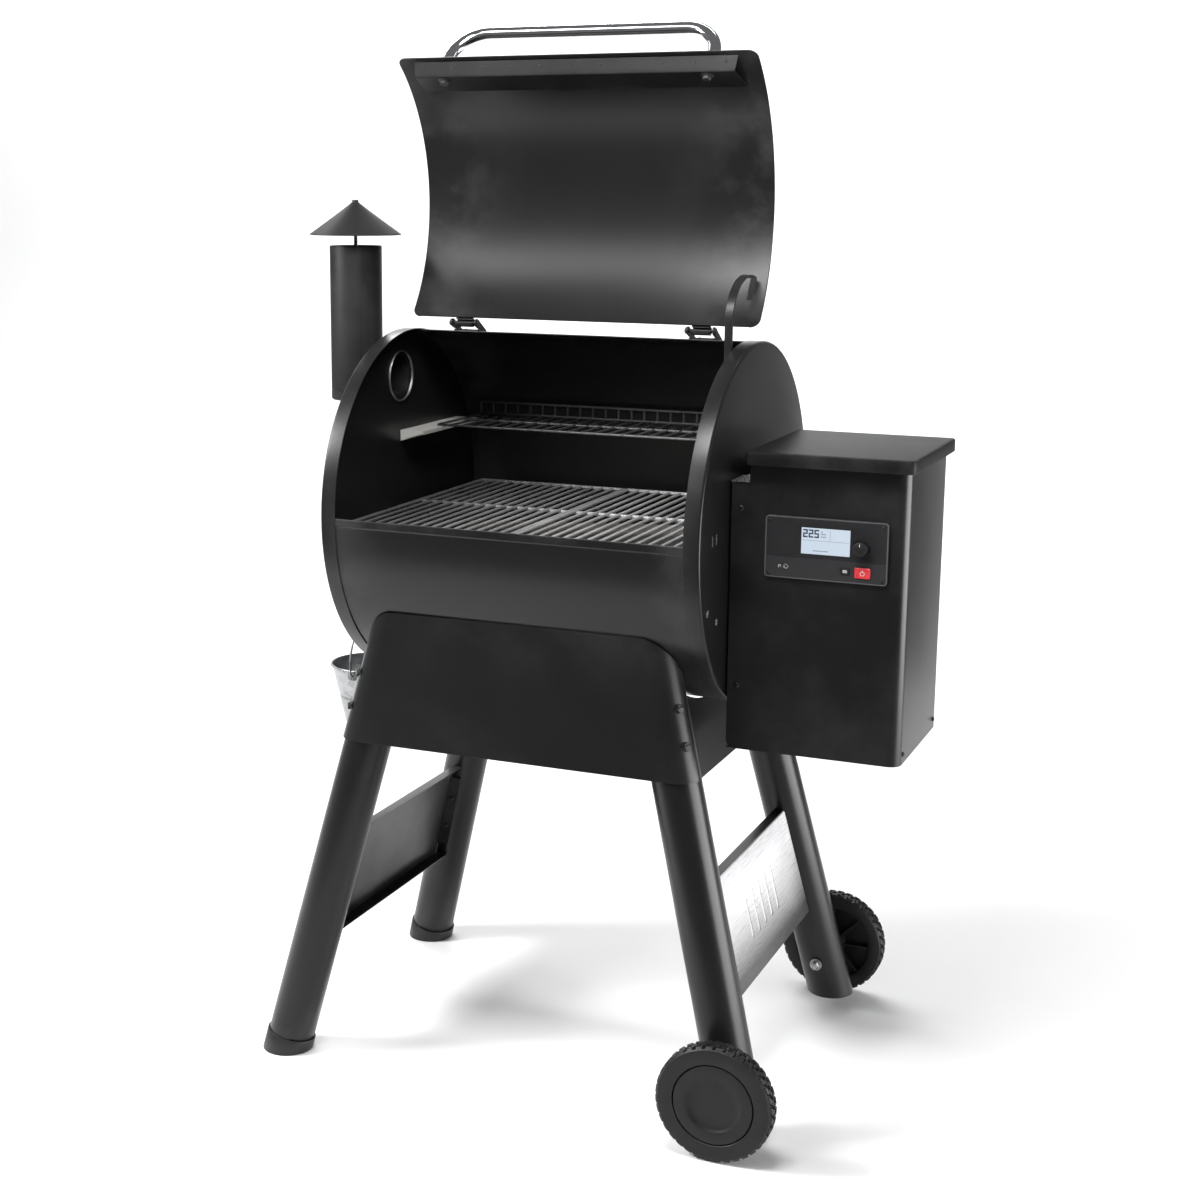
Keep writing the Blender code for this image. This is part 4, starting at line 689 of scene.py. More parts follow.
def hinges():
    """Rolled leaves on the lid, cheeks and foot on the barrel, pin with a domed head."""
    knuckle_r, cheek, plate, half_leaf = 0.0052, 0.0225, 0.003, 0.015
    lid_r = LID_R + LID_SHEET
    for word, side in SIDES:
        x = side * HINGE_X
        line = [polar(lid_r + 0.0004, a) for a in (94.6, 92.0, 89.4, 88.0)]
        line += arc(HINGE_Y, HINGE_Z, knuckle_r, -60, 230, 30)[::-1]
        leaf = bent_sheet(line, 0.0016, half_leaf, middle=x)
        on_lid(f"hinge_{word}_leaf_rolled", leaf, node=f"hinge_leaf_{word}", bevel=0.0003)
        spot = polar(lid_r + 0.002, 93.2)
        screws = join(pan_screw(*off_axis(x + dx, *spot), 0.0029) for dx in (-0.009, 0.009))
        on_lid(f"hinge_{word}_leaf_screws", screws, FASTENER)
        outline = [(0.027, 1.1483), (0.0165, 1.153), *arc(0.0205, 1.1583, 0.0062, 200, 60, 8),
                   (0.03, 1.16), (0.056, 1.144), (0.056, 1.1415)]
        foot = [polar(SHELL_R + 0.0004, a) for a in steps(77.6, 84.0, 6)]
        foot += [polar(SHELL_R + plate, a) for a in steps(84.0, 77.6, 6)]
        base = join(prism(outline, low, low + plate, "x") for low in (x - cheek, x + cheek - plate))
        base += prism(foot, x - cheek, x + cheek, "x")
        make(f"hinge_{word}_base_plate", base, node=f"hinge_base_{word}", bevel=0.0004)
        pin = mm((0, -26.2), (3.4, -26.2), (5.0, -25.0), (5.4, -23.6), (5.4, -22.7), (3.0, -22.7),
                 (3.0, 22.7), (5.0, 22.7), (5.0, 24.3), (0, 24.3))
        fixings = turned(pin, at(x, HINGE_Y, HINGE_Z, "x"), 24)
        spot = polar(SHELL_R + plate, 79.2)
        fixings += join(rivet(*off_axis(x + dx, *spot), 0.0036) for dx in (-0.012, 0.012))
        make(f"hinge_{word}_pin_and_rivets", fixings, FASTENER)


# ---- chimney
def chimney():
    """Tube with a rolled bead, flanged pipe into the barrel, threaded stud with its bar, and cone cap."""
    here = Matrix.Translation(CHIMNEY)
    x, y = CHIMNEY.x, CHIMNEY.y
    elbow = at(0, y, ELBOW_Z, "x")
    r, z0, z1 = 0.042, 1.03, 1.2775
    wall = r - 0.0016
    profile = [(0, z0), (r - 0.002, z0), (r, z0 + 0.002), (r, z0 + 0.014), (r - 0.0006, z0 + 0.0148),
               (r - 0.0006, z0 + 0.0158), (r, z0 + 0.0166), (r, z1 - 0.001), (r - 0.0004, z1),
               (r - 0.0012, z1), (wall, z1 - 0.001), (wall, z0 + 0.003), (0, z0 + 0.003)]
    tube = make("chimney_tube_skin", turned(profile, here, 96), COAT_GRAINY, node="chimney_tube", angle=30)
    carve(tube, rod(0.0345, -0.379, -0.32, elbow, 48))
    pipe = mm((32, -349), (33.6, -349), (33.6, -309.5), (35, -307), (37.6, -305.6), (48, -305.6),
              (48.4, -305), (48.4, -302.8), (48, -302.4), (32.5, -302.4))
    make("chimney_elbow_pipe", turned(pipe, elbow, 80, closed=True), node="chimney_elbow", angle=30)
    screws = arc(y, ELBOW_Z, 0.043, 45, 315, 3)
    make("chimney_screws", join(pan_screw((-0.3056, *spot), (-1, 0, 0), 0.0034) for spot in screws), FASTENER)
    seam_x, seam_y = x + (r + 0.0002) * cos(2.2), y + (r + 0.0002) * sin(2.2)
    make("chimney_weld_seam", swept([(seam_x, seam_y, z) for z in (z0 + 0.02, z1 - 0.001)], 0.0007, 8))
    pitch = 0.0011
    turns = [(0.0031 - 0.0005 * (k % 2), 1.2515 + pitch * k / 2) for k in range(2 * 86)]
    stud = turned([(0, 1.25), *turns, (0.0028, 1.3462), (0, 1.3466)], here, 16)
    half_bar, half_width, bar_top = 0.0398, 0.007, 1.2478
    stud += block((x - half_bar, y - half_width, 1.246), (x + half_bar, y + half_width, bar_top))
    for edge in (x - half_bar + 0.0001, x + half_bar - 0.0001):
        stud += block((edge - 0.0008, y - half_width, 1.236), (edge + 0.0008, y + half_width, bar_top))
    make("chimney_stud_thread", stud, ZINC_FINE, node="chimney_stud")

    def slope(inner, outer, top, fall, shares):
        return [(inner + (outer - inner) * t, top - fall * t ** 0.96) for t in shares]

    cone = [(0.0036, 1.3446), (0.006, 1.345), *slope(0.0086, 0.0733, 1.344, 0.0476, steps(0.0, 1.0, 20)),
            *mm((73.5, 1295.8), (73.5, 1295.2), (73.1, 1294.7), (72.4, 1295.2)),
            *slope(0.008, 0.072, 1.3428, 0.0472, steps(1.0, 0.0, 16)), (0.0036, 1.343)]
    cone = turned(cone, here, 96, closed=True)
    make("chimney_cap_skin", cone, COAT_GRAINY, "chimney_cap", "chimney_cap", angle=30)
    nut = mm((0, 1344.8), (8.2, 1344.8), (8.2, 1345.8), (5.8, 1346.1), (5.8, 1349.2), (5, 1350.2),
             (0, 1350.3))
    nuts = turned(nut, here, 6) + collar(0.0034, 0.0058, 1.3365, 1.3402, here, 6)
    nuts += collar(0.0034, 0.0088, 1.3404, 1.3414, here, 24)
    make("chimney_cap_nuts", nuts, FASTENER, "chimney_cap")


# ---- legs and base
def toward(angle):
    """A level direction."""
    return Vector((cos(radians(angle)), sin(radians(angle)), 0.0))


def outline_point(side_x, side_y, radius, angle):
    """Where a leg's outline of this radius meets the floor, and the leg's slope."""
    foot = Vector((side_x * LEG_FOOT.x, side_y * LEG_FOOT.y, 0.0))
    slope = Vector((side_x * LEG_SLOPE.x, side_y * LEG_SLOPE.y, 1.0))
    heading = toward(angle)
    lean = heading.dot(slope.normalized())
    return foot + heading * (radius / sqrt(1.0 - lean * lean)), slope


def to_barrel(point, slope, gap):
    """Follow the slope from a point up to the barrel."""
    reach = CAP_R + gap
    a = slope.y ** 2 + slope.z ** 2
    b = 2.0 * (point.y * slope.y + (point.z - AXIS_Z) * slope.z)
    c = point.y ** 2 + (point.z - AXIS_Z) ** 2 - reach ** 2
    return point + slope * ((-b - sqrt(b * b - 4.0 * a * c)) / (2.0 * a))


def leg_ring(side_x, side_y, radius, level, square=False):
    """A ring round a leg: level, square to the leg, or (with no level) where it meets the barrel."""
    ring = []
    foot = Vector((side_x * LEG_FOOT.x, side_y * LEG_FOOT.y, 0.0))
    for k in range(72):
        start, slope = outline_point(side_x, side_y, radius, 5.0 * k)
        along = slope.normalized()
        height = (level - (start - foot).dot(along)) / slope.dot(along) if square else level
        ring.append(to_barrel(start, slope, 0.0008) if level is None else start + slope * height)
    return ring


def legs():
    """Slanted tubes cut to the barrel; the left ones stand in plastic shoes."""
    bore = LEG_R - 0.0018
    shoe = ((0.0374, 0.0036, False), (0.0374, 0.0272, True), (0.038, 0.0282, True), (0.0388, 0.0282, True),
            (0.0394, 0.0274, True), (0.0394, 0.0018, False), (0.0388, 0.0004, False), (0.0372, 0.0, False))
    for word_y, side_y in ENDS:
        for word_x, side_x in SIDES:
            name = f"leg_{word_y}_{word_x}"
            low = 0.004 if side_x < 0 else 0.027
            levels = [(bore, low + 0.002), (LEG_R - 0.0006, low), (LEG_R, low + 0.0007)]
            levels += [(LEG_R, low + (0.6 - low) * t) for t in steps(0.0, 1.0, 6)[1:]]
            levels += [(LEG_R, None), (bore, None), (bore, low + 0.0021)]
            tube = net([leg_ring(side_x, side_y, *level) for level in levels])
            tube = make(name + "_tube", tube, node=name, angle=40)
            if side_x > 0:
                carve(tube, rod(0.0064, side_y * 0.2, side_y * 0.3, at(WHEEL_X, 0, WHEEL_R, "y"), 24))
            else:
                rings = net([leg_ring(side_x, side_y, *level) for level in shoe])
                make(f"shoe_{word_y}_left", rings, PLASTIC, node=f"foot_cap_{word_y}_left")


def aprons():
    """Sheets wrapped over the front and rear pairs of legs, with two bolts in each leg."""
    low, outer, inner = 0.527, LEG_R + 0.0034, LEG_R + 0.0018
    for word, side_y in ENDS:
        def outline(radius):
            left, right = ([outline_point(side_x, side_y, radius, -side_y * a)
                            for a in steps(start, start + 75, 24)] for side_x, start in ((-1, 195), (1, 270)))
            middle = [(left[-1][0].lerp(right[0][0], t), left[-1][1].lerp(right[0][1], t))
                      for t in steps(0.0, 1.0, 12)[1:-1]]
            for start, slope in left + middle + right:
                bottom, top = start + slope * low, to_barrel(start, slope, 0.0006)
                yield [bottom, bottom.lerp(top, 0.5), top]

        sheet = skin(list(zip(outline(outer), outline(inner))))
        make(f"apron_{word}_sheet", sheet, node=f"apron_{word}", bevel=0.0004, angle=30)
        bolts = []
        for side_x in (-1, 1):
            angle = -side_y * (270 + side_x * 55)
            start, slope = outline_point(side_x, side_y, outer, angle)
            bolts += join(hex_bolt(start + slope * height, toward(angle), 0.0056)
                          for height in (0.632, 0.578))
        make(f"apron_{word}_bolts", bolts, FASTENER)


def side_panels():
    """Flat sheets between the front and rear legs, up to the barrel."""
    for word, side in SIDES:
        rows = []
        for share in steps(-1.0, 1.0, 40):
            slope = Vector((side * LEG_SLOPE.x, share * LEG_SLOPE.y, 1.0))
            feet = [Vector((side * (LEG_FOOT.x + shift), share * (LEG_FOOT.y - LEG_R - 0.0012), 0.0))
                    for shift in (0.0, SHEET)]
            rows.append([[foot + slope * 0.497, to_barrel(foot, slope, 0.0008)] for foot in feet])
        make(f"side_panel_{word}_sheet", skin(rows), node=f"side_panel_{word}", bevel=0.0003)


def braces():
    """Tray panels between the legs, with end flanges and screws; plain slots in the right one."""
    low, high, out, t = 0.181, 0.357, 0.01, 0.0018
    corners = [(out - 0.018, high), (out - 0.0022, high), (out - 0.0006, high - 0.0006), (out, high - 0.0022),
               (out, low + 0.0022), (out - 0.0006, low + 0.0006), (out - 0.0022, low), (out - 0.024, low)]
    pairs = list(zip(corners, offset_line(corners, -t)))
    for (word, side), mat in zip(SIDES, (COAT, PANEL)):
        def between(off, z, gap=0.0008):
            """The two ends of a line between the legs, off the legs' middle plane, at a height."""
            half = LEG_FOOT.y + LEG_SLOPE.y * z - LEG_R - gap
            return [(side * (LEG_FOOT.x + LEG_SLOPE.x * z + off), y, z) for y in (-half, half)]

        shown = pairs
        if side > 0:
            lift = 0.0002
            lip = [[between(*corner) for corner in pairs[0]], [between(off - lift, z) for off, z in pairs[1]]]
            make("brace_right_top_lip", skin(lip), angle=30)
            shown = pairs[1:]
        rows = [[between(*corner) for corner in pair] for pair in shown]
        panel = make(f"brace_{word}_sheet", skin(rows), mat, node=f"brace_{word}", angle=30)
        if side > 0:
            carve(panel, *[prism(rounded(y - 0.005, 0.235, y + 0.005, 0.305, 0.0048), 0.26, 0.4, "x")
                           for y in (-0.068, -0.034, 0.0, 0.034, 0.068)])
        flanges, screws = [], []
        for k, side_y in ((0, -1), (1, 1)):
            rows = []
            for z in (0.205, 0.335):
                x, y, z = between(out - 0.002, z, 0.0012)[k]
                rows.append([[(x, v, z), (x - side * 0.02, v, z)] for v in (y, y - side_y * t)])
            flanges += skin(rows)
            for z in (0.241, 0.294):
                screws += pan_screw(between(-0.002, z, 0.003)[k], (0, -side_y, 0), 0.0042)
        make(f"brace_{word}_end_flanges", flanges)
        make(f"brace_{word}_screws", screws, FASTENER)


def wheel(word, side_y):
    """Moulded wheel: chevron tread, groove, dished hub cap, ribbed inner side, axle bolt with its nut."""
    name = f"wheel_{word}"
    place = at(WHEEL_X, 0, WHEEL_R, "y")
    around, across, pitches, width = 432, 22, 36, 0.031
    shoulder, groove_r = 0.0848, WHEEL_R - 0.0036

    def from_outside(profile):
        return [(r, side_y * (WHEEL_OUT - w)) for r, w in profile]

    outer = mm((61.2, 12), (61.2, 1.2), (61.9, 0.3), (63.5, 0), (80, 0), (83.5, 0.6))
    tread = []
    for s in steps(0.0, 1.0, across):
        edge = max(0.0, (abs(2 * s - 1) - 0.72) / 0.28)
        tread.append((shoulder + (WHEEL_R - shoulder) * (1.0 - edge ** 2.2), 0.002 + (width - 0.004) * s))
    inner = mm((83.5, 30.4), (80, 31), (66.5, 31), (64.5, 30), (64, 16.5), (23, 16.5), (19, 30), (17.5, 52.8),
               (6.4, 52.8), (6.4, 12))

    def blocks(i, k, r):
        """Chevron blocks with a middle groove and a notch, cut into the tread's rings."""
        s = (i - len(outer)) / across
        reach = abs(s - 0.5) * 2
        if not 0.02 < s < 0.98:
            return r
        phase = (k / around * pitches + 0.5 * (s > 0.5) + 0.62 * reach) % 1.0
        off = abs(phase - 0.5)
        if off < 0.17 or reach < 0.06 or (0.42 < reach < 0.54 and off < 0.4):
            return min(r, groove_r) if reach < 0.92 else r - 0.0016
        return r

    tyre = turned(from_outside(outer + tread + inner), place, around, True, blocks)
    make(name + "_tyre", tyre, WHEEL, name, name, angle=32)
    low, high = sorted(z for r, z in from_outside([(0, 0.0168), (0, 0.0285)]))
    rib = block((0.02, -0.0014, low), (0.0642, 0.0014, high))
    ribs = join(moved(rib, place @ Matrix.Rotation(pi / 4 * k, 4, "Z")) for k in range(8))
    make(name + "_ribs", ribs, WHEEL, name, bevel=0.0004)
    cap = mm((0, 5.6), (28, 5.5), (35, 5), (38.5, 3.8), (40.5, 2), (42, 1), (44, 0.6), (56, 0.4), (58.8, 0.8),
             (59.8, 2.2), (60, 5), (60.2, 11.4), (58.5, 11.4), (58.5, 7.8), (0, 7.8))
    cap = turned(from_outside(cap), place, 96)
    make(f"hub_cap_{word}_disc", cap, WHEEL, name, f"hub_cap_{word}", angle=35)
    bolt = mm((0, 8.2), (8.8, 8.2), (10, 9.4), (10, 11.6), (6, 11.6), (6, 130), (4.6, 131), (4.6, 142.5),
              (4, 143.5), (0, 143.5))
    nut = mm((4.7, 135.5), (7.2, 135.5), (7.5, 136.2), (7.5, 140), (6.6, 141.2), (4.7, 141.2))
    washer = mm((6.2, 133.2), (10, 133.2), (10, 135), (4.7, 135), (4.7, 134), (6.2, 133.8))
    axle = turned(from_outside(bolt), place, 32) + turned(from_outside(nut), place, 6, closed=True)
    axle += turned(from_outside(washer), place, 40, closed=True)
    make(f"axle_{word}_bolt_and_nut", axle, ZINC_FINE, node=f"axle_{word}")


# ---- inside
def grates():
    """Welded wire grates: close rods front to back on cross rods."""
    rod_r, cross_r, count, reach = 0.0026, 0.003, 15, 0.2375
    for word, x0, x1 in (("left", -0.27, -0.001), ("right", 0.001, 0.27)):
        wires = []
        z = GRATE_Z + 0.003
        for k, x in enumerate(steps(x0 + 0.003, x1 - 0.003, count - 1)):
            r = cross_r if k in (0, count - 1) else rod_r
            wires += swept([(x, y, z) for y in (-reach, -0.236, -0.1, 0.1, 0.236, reach)], r)
        for y, z in ((-0.235, z), (0.0, GRATE_Z + 0.0008), (0.235, z)):
            wires += swept([(x0 + 0.001, y, z), (x1 - 0.001, y, z)], cross_r)
        make(f"main_grate_{word}_wire", wires, ENAMEL, f"main_grate_{word}", f"main_grate_{word}")


def rack():
    """Upper rack: wires bent up at the rear into a fence under a top rail."""
    wires = []
    base, bend = RACK_Z + 0.0021, 0.0056
    for x in steps(-0.2655, 0.2655, 23):
        path = [(x, 0.0605, base + 0.0008), (x, 0.07, base + 0.0006), (x, 0.14, base), (x, 0.22, base)]
        path += [(x, 0.2222 + bend * sin(t), base + bend - bend * cos(t))
                 for t in steps(0.0, pi / 2, 6)[1:]]
        wires += swept(path + [(x, 0.2278, RACK_Z + 0.0245)], 0.0019)
    rails = ((0.0625, base - 0.0004), (0.148, base - 0.0002), (0.2262, RACK_Z + 0.0048),
             (0.2278, RACK_Z + 0.0238))
    wires += join(swept([(-0.268, *rail), (0.268, *rail)], 0.002) for rail in rails)
    make("upper_rack_wire", wires, ENAMEL_DARK, "upper_rack", "upper_rack")


def rack_brackets():
    """Folded zinc angles on the end caps, screwed through with hex nuts outside."""
    t, reach, drop, lip = 0.0016, 0.041, 0.018, 0.006
    top = RACK_Z - 0.0005
    wall = CAP_HALF - SHEET - 0.0004
    edge = wall - reach
    outline = [(wall, top - drop), (wall, top), (edge, top), (edge, top - lip), (edge + t, top - lip),
               (edge + t, top - t), (wall - t, top - t), (wall - t, top - drop)]
    gusset = [(wall, top - drop), (wall, top), (edge, top), (edge, top - 0.004)]
    for word, side in SIDES:
        angle, web = ([(side * x, z) for x, z in points] for points in (outline, gusset))
        angle = prism(angle, -0.009, 0.2, "y") + prism(web, -0.0104, -0.009, "y")
        make(f"rack_bracket_{word}_angle", angle, ZINC_BRIGHT, node=f"rack_bracket_{word}", bevel=0.0003)
        screws = []
        for y in (0.01, 0.095, 0.18):
            screws += pan_screw((side * (wall - t), y, top - 0.011), (-side, 0, 0), 0.0034)
            screws += hex_bolt((side * (CAP_HALF + 0.0001), y, top - 0.011), (side, 0, 0), 0.0042)
        make(f"rack_bracket_{word}_screws", screws, FASTENER)


# ---- hopper
def hopper():
    """Folded box, open at the top, with its screws, hatch, louvres and the plates that hold it."""
    t, front_r, rear_r = SHEET, 0.018, 0.006

    def walls(inset, left):
        return [(left, HY0 + inset), *arc(HX1 - front_r, HY0 + front_r, front_r - inset, -90, 0, 14),
                *arc(HX1 - rear_r, HY1 - rear_r, rear_r - inset, 0, 90, 8), (left, HY1 - inset)]

    box = prism(walls(0.0, HX0), HZ0, HZ1, "z")
    box = make("hopper_box", box, node="hopper_housing", angle=30, bevel=0.0005)
    hollow = prism(walls(t, HX0 - 0.01), HZ0 + t, HZ1 + 0.01, "z")
    notch = block((HX0 - 0.02, HY0 - 0.02, 0.957), (LX0 + 0.0025, HY1 + 0.02, HZ1 + 0.02))
    inset = 0.006
    window = rounded(BX0 + inset, BZ0 + inset, BX1 - inset, BZ1 - inset, 0.003)
    window = prism(window, HY0 - 0.01, HY0 + 0.01, "y")
    low, r = -0.005, 0.014
    corner = [(low, low), (r, low), *arc(r, r, r, 270, 180, 12), (low, r)]
    corner = prism([(HX0 + x, HZ0 + z) for x, z in corner], HY0 - 0.01, HY0 + t + 0.0006, "y")
    carve(box, hollow, notch, window, corner)
    front, rear, right = (0, -1, 0), (0, 1, 0), (1, 0, 0)
    screws = join(pan_screw((0.3195, y, z), way, 0.0044)
                  for z in (0.918, 0.654) for y, way in ((HY0, front), (HY1, rear)))
    screws += join(pan_screw((HX1, y, 0.572), right, 0.0036) for y in (-0.118, 0.088))
    screws += join(pan_screw((0.548, HY1, z), rear, 0.0036) for z in (0.6, 0.78, 0.94))
    make("hopper_screws", screws, FASTENER)
    tabs = join(block((HX1 - 0.03, y, HZ0 - 0.0018), (HX1 - 0.004, y + 0.018, HZ0 - 0.0002))
                for y in (HY0 + 0.012, HY1 - 0.03))
    make("hopper_bottom_tabs", tabs, bevel=0.0004)
    x0, z0, x1, z1, hatch_y, inset = 0.352, 0.69, 0.452, 0.8, HY1 + 0.0016, 0.008
    hatch = prism(rounded(x0, z0, x1, z1, 0.006, 8), HY1 + 0.0001, hatch_y, "y")
    make("hopper_clean_out_hatch", hatch, bevel=0.0004)
    fixings = join(pan_screw((x, hatch_y, z), rear, 0.0034)
                   for x in (x0 + inset, x1 - inset) for z in (z0 + inset, z1 - inset))
    grip = mm((0, 0), (9, 0), (9, 10), (8, 11.5), (0, 11.8))
    fixings += turned(grip, aim(((x0 + x1) / 2, hatch_y, z0 + 0.03), rear), 32)
    make("hatch_knob_and_screws", fixings, FASTENER)
    louvre = mm((0.1, 0), (4.4, -3.6), (4.4, -4.4), (0.1, -1.4))
    louvres = [[(HY1 + y, z + rise) for y, rise in louvre] for z in steps(0.58, 0.648, 8)]
    make("fan_louvres", join(prism(outline, 0.365, 0.445, "x") for outline in louvres))
    bracket = prism(mm((311, 956.2), (331.2, 957.4), (331.2, 969.2)), HY0 - 0.0022, HY0 - 0.0004, "y")
    bracket += block((0.3036, HY0 - 0.0004, 0.9562), (0.3312, HY0 + 0.06, 0.9578))
    make("hopper_bracket", bracket, ZINC, bevel=0.0003)
    plates = []
    for z in (0.575, 0.9):
        for y in (-0.1, 0.07):
            plates += block((0.3022, y - 0.01, z - 0.02), (0.3049, y + 0.01, z + 0.02))
            plates += hex_bolt((0.3003, y, z), (-1, 0, 0), 0.004)
    make("hopper_mount_plates", plates, bevel=0.0004)


def hopper_lid():
    """Pressed cover with round edges, on two small hinges."""
    r, t = 0.008, 0.0018
    shape = [(0.0046, LZ1), (0.0022, LZ1 - 0.0003), (0.0007, LZ1 - 0.0012), (0.0, LZ1 - 0.003),
             (0.0, LZ0 + 0.0008), (0.0004, LZ0), (t - 0.0004, LZ0), (t, LZ0 + 0.0008),
             (t, LZ1 - t - 0.002), (t + 0.002, LZ1 - t)]
    cover = []
    for inset, z in shape:
        outline = rounded(LX0 + inset, LY0 + inset, LX1 - inset, LY1 - inset, max(r - inset, 0.002), 10)
        cover.append([(x, y, z) for x, y in outline])
    make("hopper_lid_cover", net(cover), COAT_GRAINY, "hopper_lid", "hopper_lid", angle=30)
    knuckles, leaves = [], []
    bore, knuckle_r, knuckle, leaf = 0.0012, 0.0029, 0.0066, 0.015
    for x in (0.372, 0.53):
        pin = at(x, LY1 + 0.003, LZ0, "x")
        knuckles += collar(bore, knuckle_r, -0.007, 0.007, pin, 20)
        knuckles += block((x - knuckle, LY1 + 0.0001, LZ0 + 0.001), (x + knuckle, LY1 + 0.0012, LZ0 + 0.014))
        for side in (-1, 1):
            leaves += collar(bore, knuckle_r, side * 0.0074, side * leaf, pin, 20)
            low, high = sorted((x + side * 0.0076, x + side * leaf))
            leaves += block((low, HY1 + 0.0002, LZ0 - 0.0026), (high, LY1 + 0.0032, LZ0 - 0.0014))
            leaves += block((low, HY1 + 0.0002, LZ0 - 0.026), (high, HY1 + 0.0014, LZ0 - 0.0014))
            leaves += pan_screw((x + side * 0.0113, HY1 + 0.0014, LZ0 - 0.019), (0, 1, 0), 0.0024)
    make("hopper_lid_knuckles", knuckles, FASTENER, "hopper_lid")
    make("hopper_hinge_leaves", leaves, FASTENER)


# ---- controller
def plate_piece(box, inset, r, count, near, far):
    """A round-cornered plate on the controller's face: a (x, z, x, z) box, made smaller by inset."""
    x0, z0, x1, z1 = box
    outline = rounded(x0 + inset, z0 + inset, x1 - inset, z1 - inset, r, count)
    return prism(outline, FACE_Y + near, FACE_Y + far, "y")


def on_face(x0, z0, x1, z1, near=-0.0001, far=0.0002):
    """A flat block on the controller's face."""
    return block((x0, FACE_Y + near, z0), (x1, FACE_Y + far, z1))


def controller():
    """Bezel plate with a recessed overlay, a raised rim, four screws and the case behind."""
    bezel, overlay_low = (BX0, BZ0, BX1, BZ1), 0.853
    back = HY0 - 0.0003
    plate = plate_piece(bezel, 0.0, 0.0055, 8, 0.0002, back - FACE_Y)
    plate = make("controller_plate", plate, PLASTIC_GREY, node="controller_bezel", bevel=0.0007)
    tools = [plate_piece(box, -0.0004, 0.0012, 4, -0.01, 0.0046) for box in (SCREEN_AT, IGNITE_AT, MENU_AT)]
    knob_at = at(KNOB_X, FACE_Y, KNOB_Z, "y")
    tools.append(turned(mm((0, -10), (13, -10), (13, 1), (4.2, 1), (4.2, 20), (0, 20)), knob_at, 48))
    tools.append(plate_piece((BX0, overlay_low - 0.0028, BX1, BZ1), 0.0028, 0.0035, 8, -0.01, 0.0008))
    carve(plate, *tools)
    overlay = plate_piece((BX0, overlay_low - 0.0028, BX1, BZ1), 0.0031, 0.0032, 8, 0.0004, 0.0012)
    overlay = make("controller_overlay", overlay, PLASTIC)
    window = plate_piece(SCREEN_AT, -0.0006, 0.0012, 4, -0.01, 0.01)
    carve(overlay, window, rod(0.0132, -0.01, 0.01, knob_at, 48))
    loops = []
    for inset, r, depth in ((0.0002, 0.0053, 0.001), (0.0002, 0.0053, 0.0001),
                            (0.0016, 0.0041, 0.0001), (0.0016, 0.0041, 0.001)):
        outline = rounded(BX0 + inset, BZ0 + inset, BX1 - inset, BZ1 - inset, r, 8)
        loops.append([(x, FACE_Y + depth, z) for x, z in outline])
    make("controller_rim", net(loops, closed=True), PLASTIC_RIM)
    case = block((BX0 + 0.008, back + 0.0024, BZ0 + 0.008), (BX1 - 0.008, HY0 + 0.0288, BZ1 - 0.008))
    make("controller_case", case, PLASTIC, bevel=0.0015)
    screws = join(pan_screw((x, FACE_Y + 0.0004, z), (0, -1, 0), 0.0024)
                  for x in (BX0 + 0.0066, BX1 - 0.0066) for z in (BZ0 + 0.0062, BZ1 - 0.0066))
    make("controller_screws", screws, FASTENER)


def screen():
    """Lit panel with a segment number, dotted rows that stand for text, and two dividing lines."""
    x0, z0, x1, z1 = SCREEN_AT
    panel = block((x0 + 0.0002, FACE_Y + 0.001, z0 + 0.0002), (x1 - 0.0002, FACE_Y + 0.0032, z1 - 0.0002))
    make("screen_panel", panel, SCREEN, node="display", bevel=0.0004)
    near, far, dot = 0.0008, 0.00112, 0.0016
    w, h, s = 0.0068, 0.0118, 0.0021
    gap, half = s * 0.6, h / 2
    # each segment's box inside its digit, and the segments that each digit lights
    spots = {"a": (0, h - s, w, h), "d": (0, 0, w, s), "g": (0, half - s / 2, w, half + s / 2),
             "f": (0, half + gap, s, h - gap), "b": (w - s, half + gap, w, h - gap),
             "e": (0, gap, s, half - gap), "c": (w - s, gap, w, half - gap)}
    lit = {"2": "abged", "5": "afgcd"}
    ink_shape = []
    for k, digit in enumerate("225"):
        left, low = x0 + 0.0026 + 0.0082 * k, z1 - 0.014
        for a, b, c, d in (spots[name] for name in lit[digit]):
            ink_shape += on_face(left + a, low + b, left + c, low + d, near, far)
    rows = [(x0 + 0.0285, z1 - 0.0056, 0.0036), (x0 + 0.0285, z1 - 0.009, 0.008),
            (x0 + 0.0285, z1 - 0.0128, 0.008), (x0 + 0.018, z0 + 0.0046, 0.023)]
    for x, z, length in rows:
        for k in range(max(2, int(length / dot))):
            ink_shape += on_face(x + k * dot, z, x + k * dot + 0.0009, z + 0.0013, near, far)
    near += 0.00002
    ink_shape += on_face(x0 + 0.0015, z1 - 0.0182, x1 - 0.0015, z1 - 0.0179, near, far)
    ink_shape += on_face(x0 + 0.042, z1 - 0.0178, x0 + 0.0423, z1 - 0.002, near, far)
    make("screen_segments", ink_shape, INK_DARK)


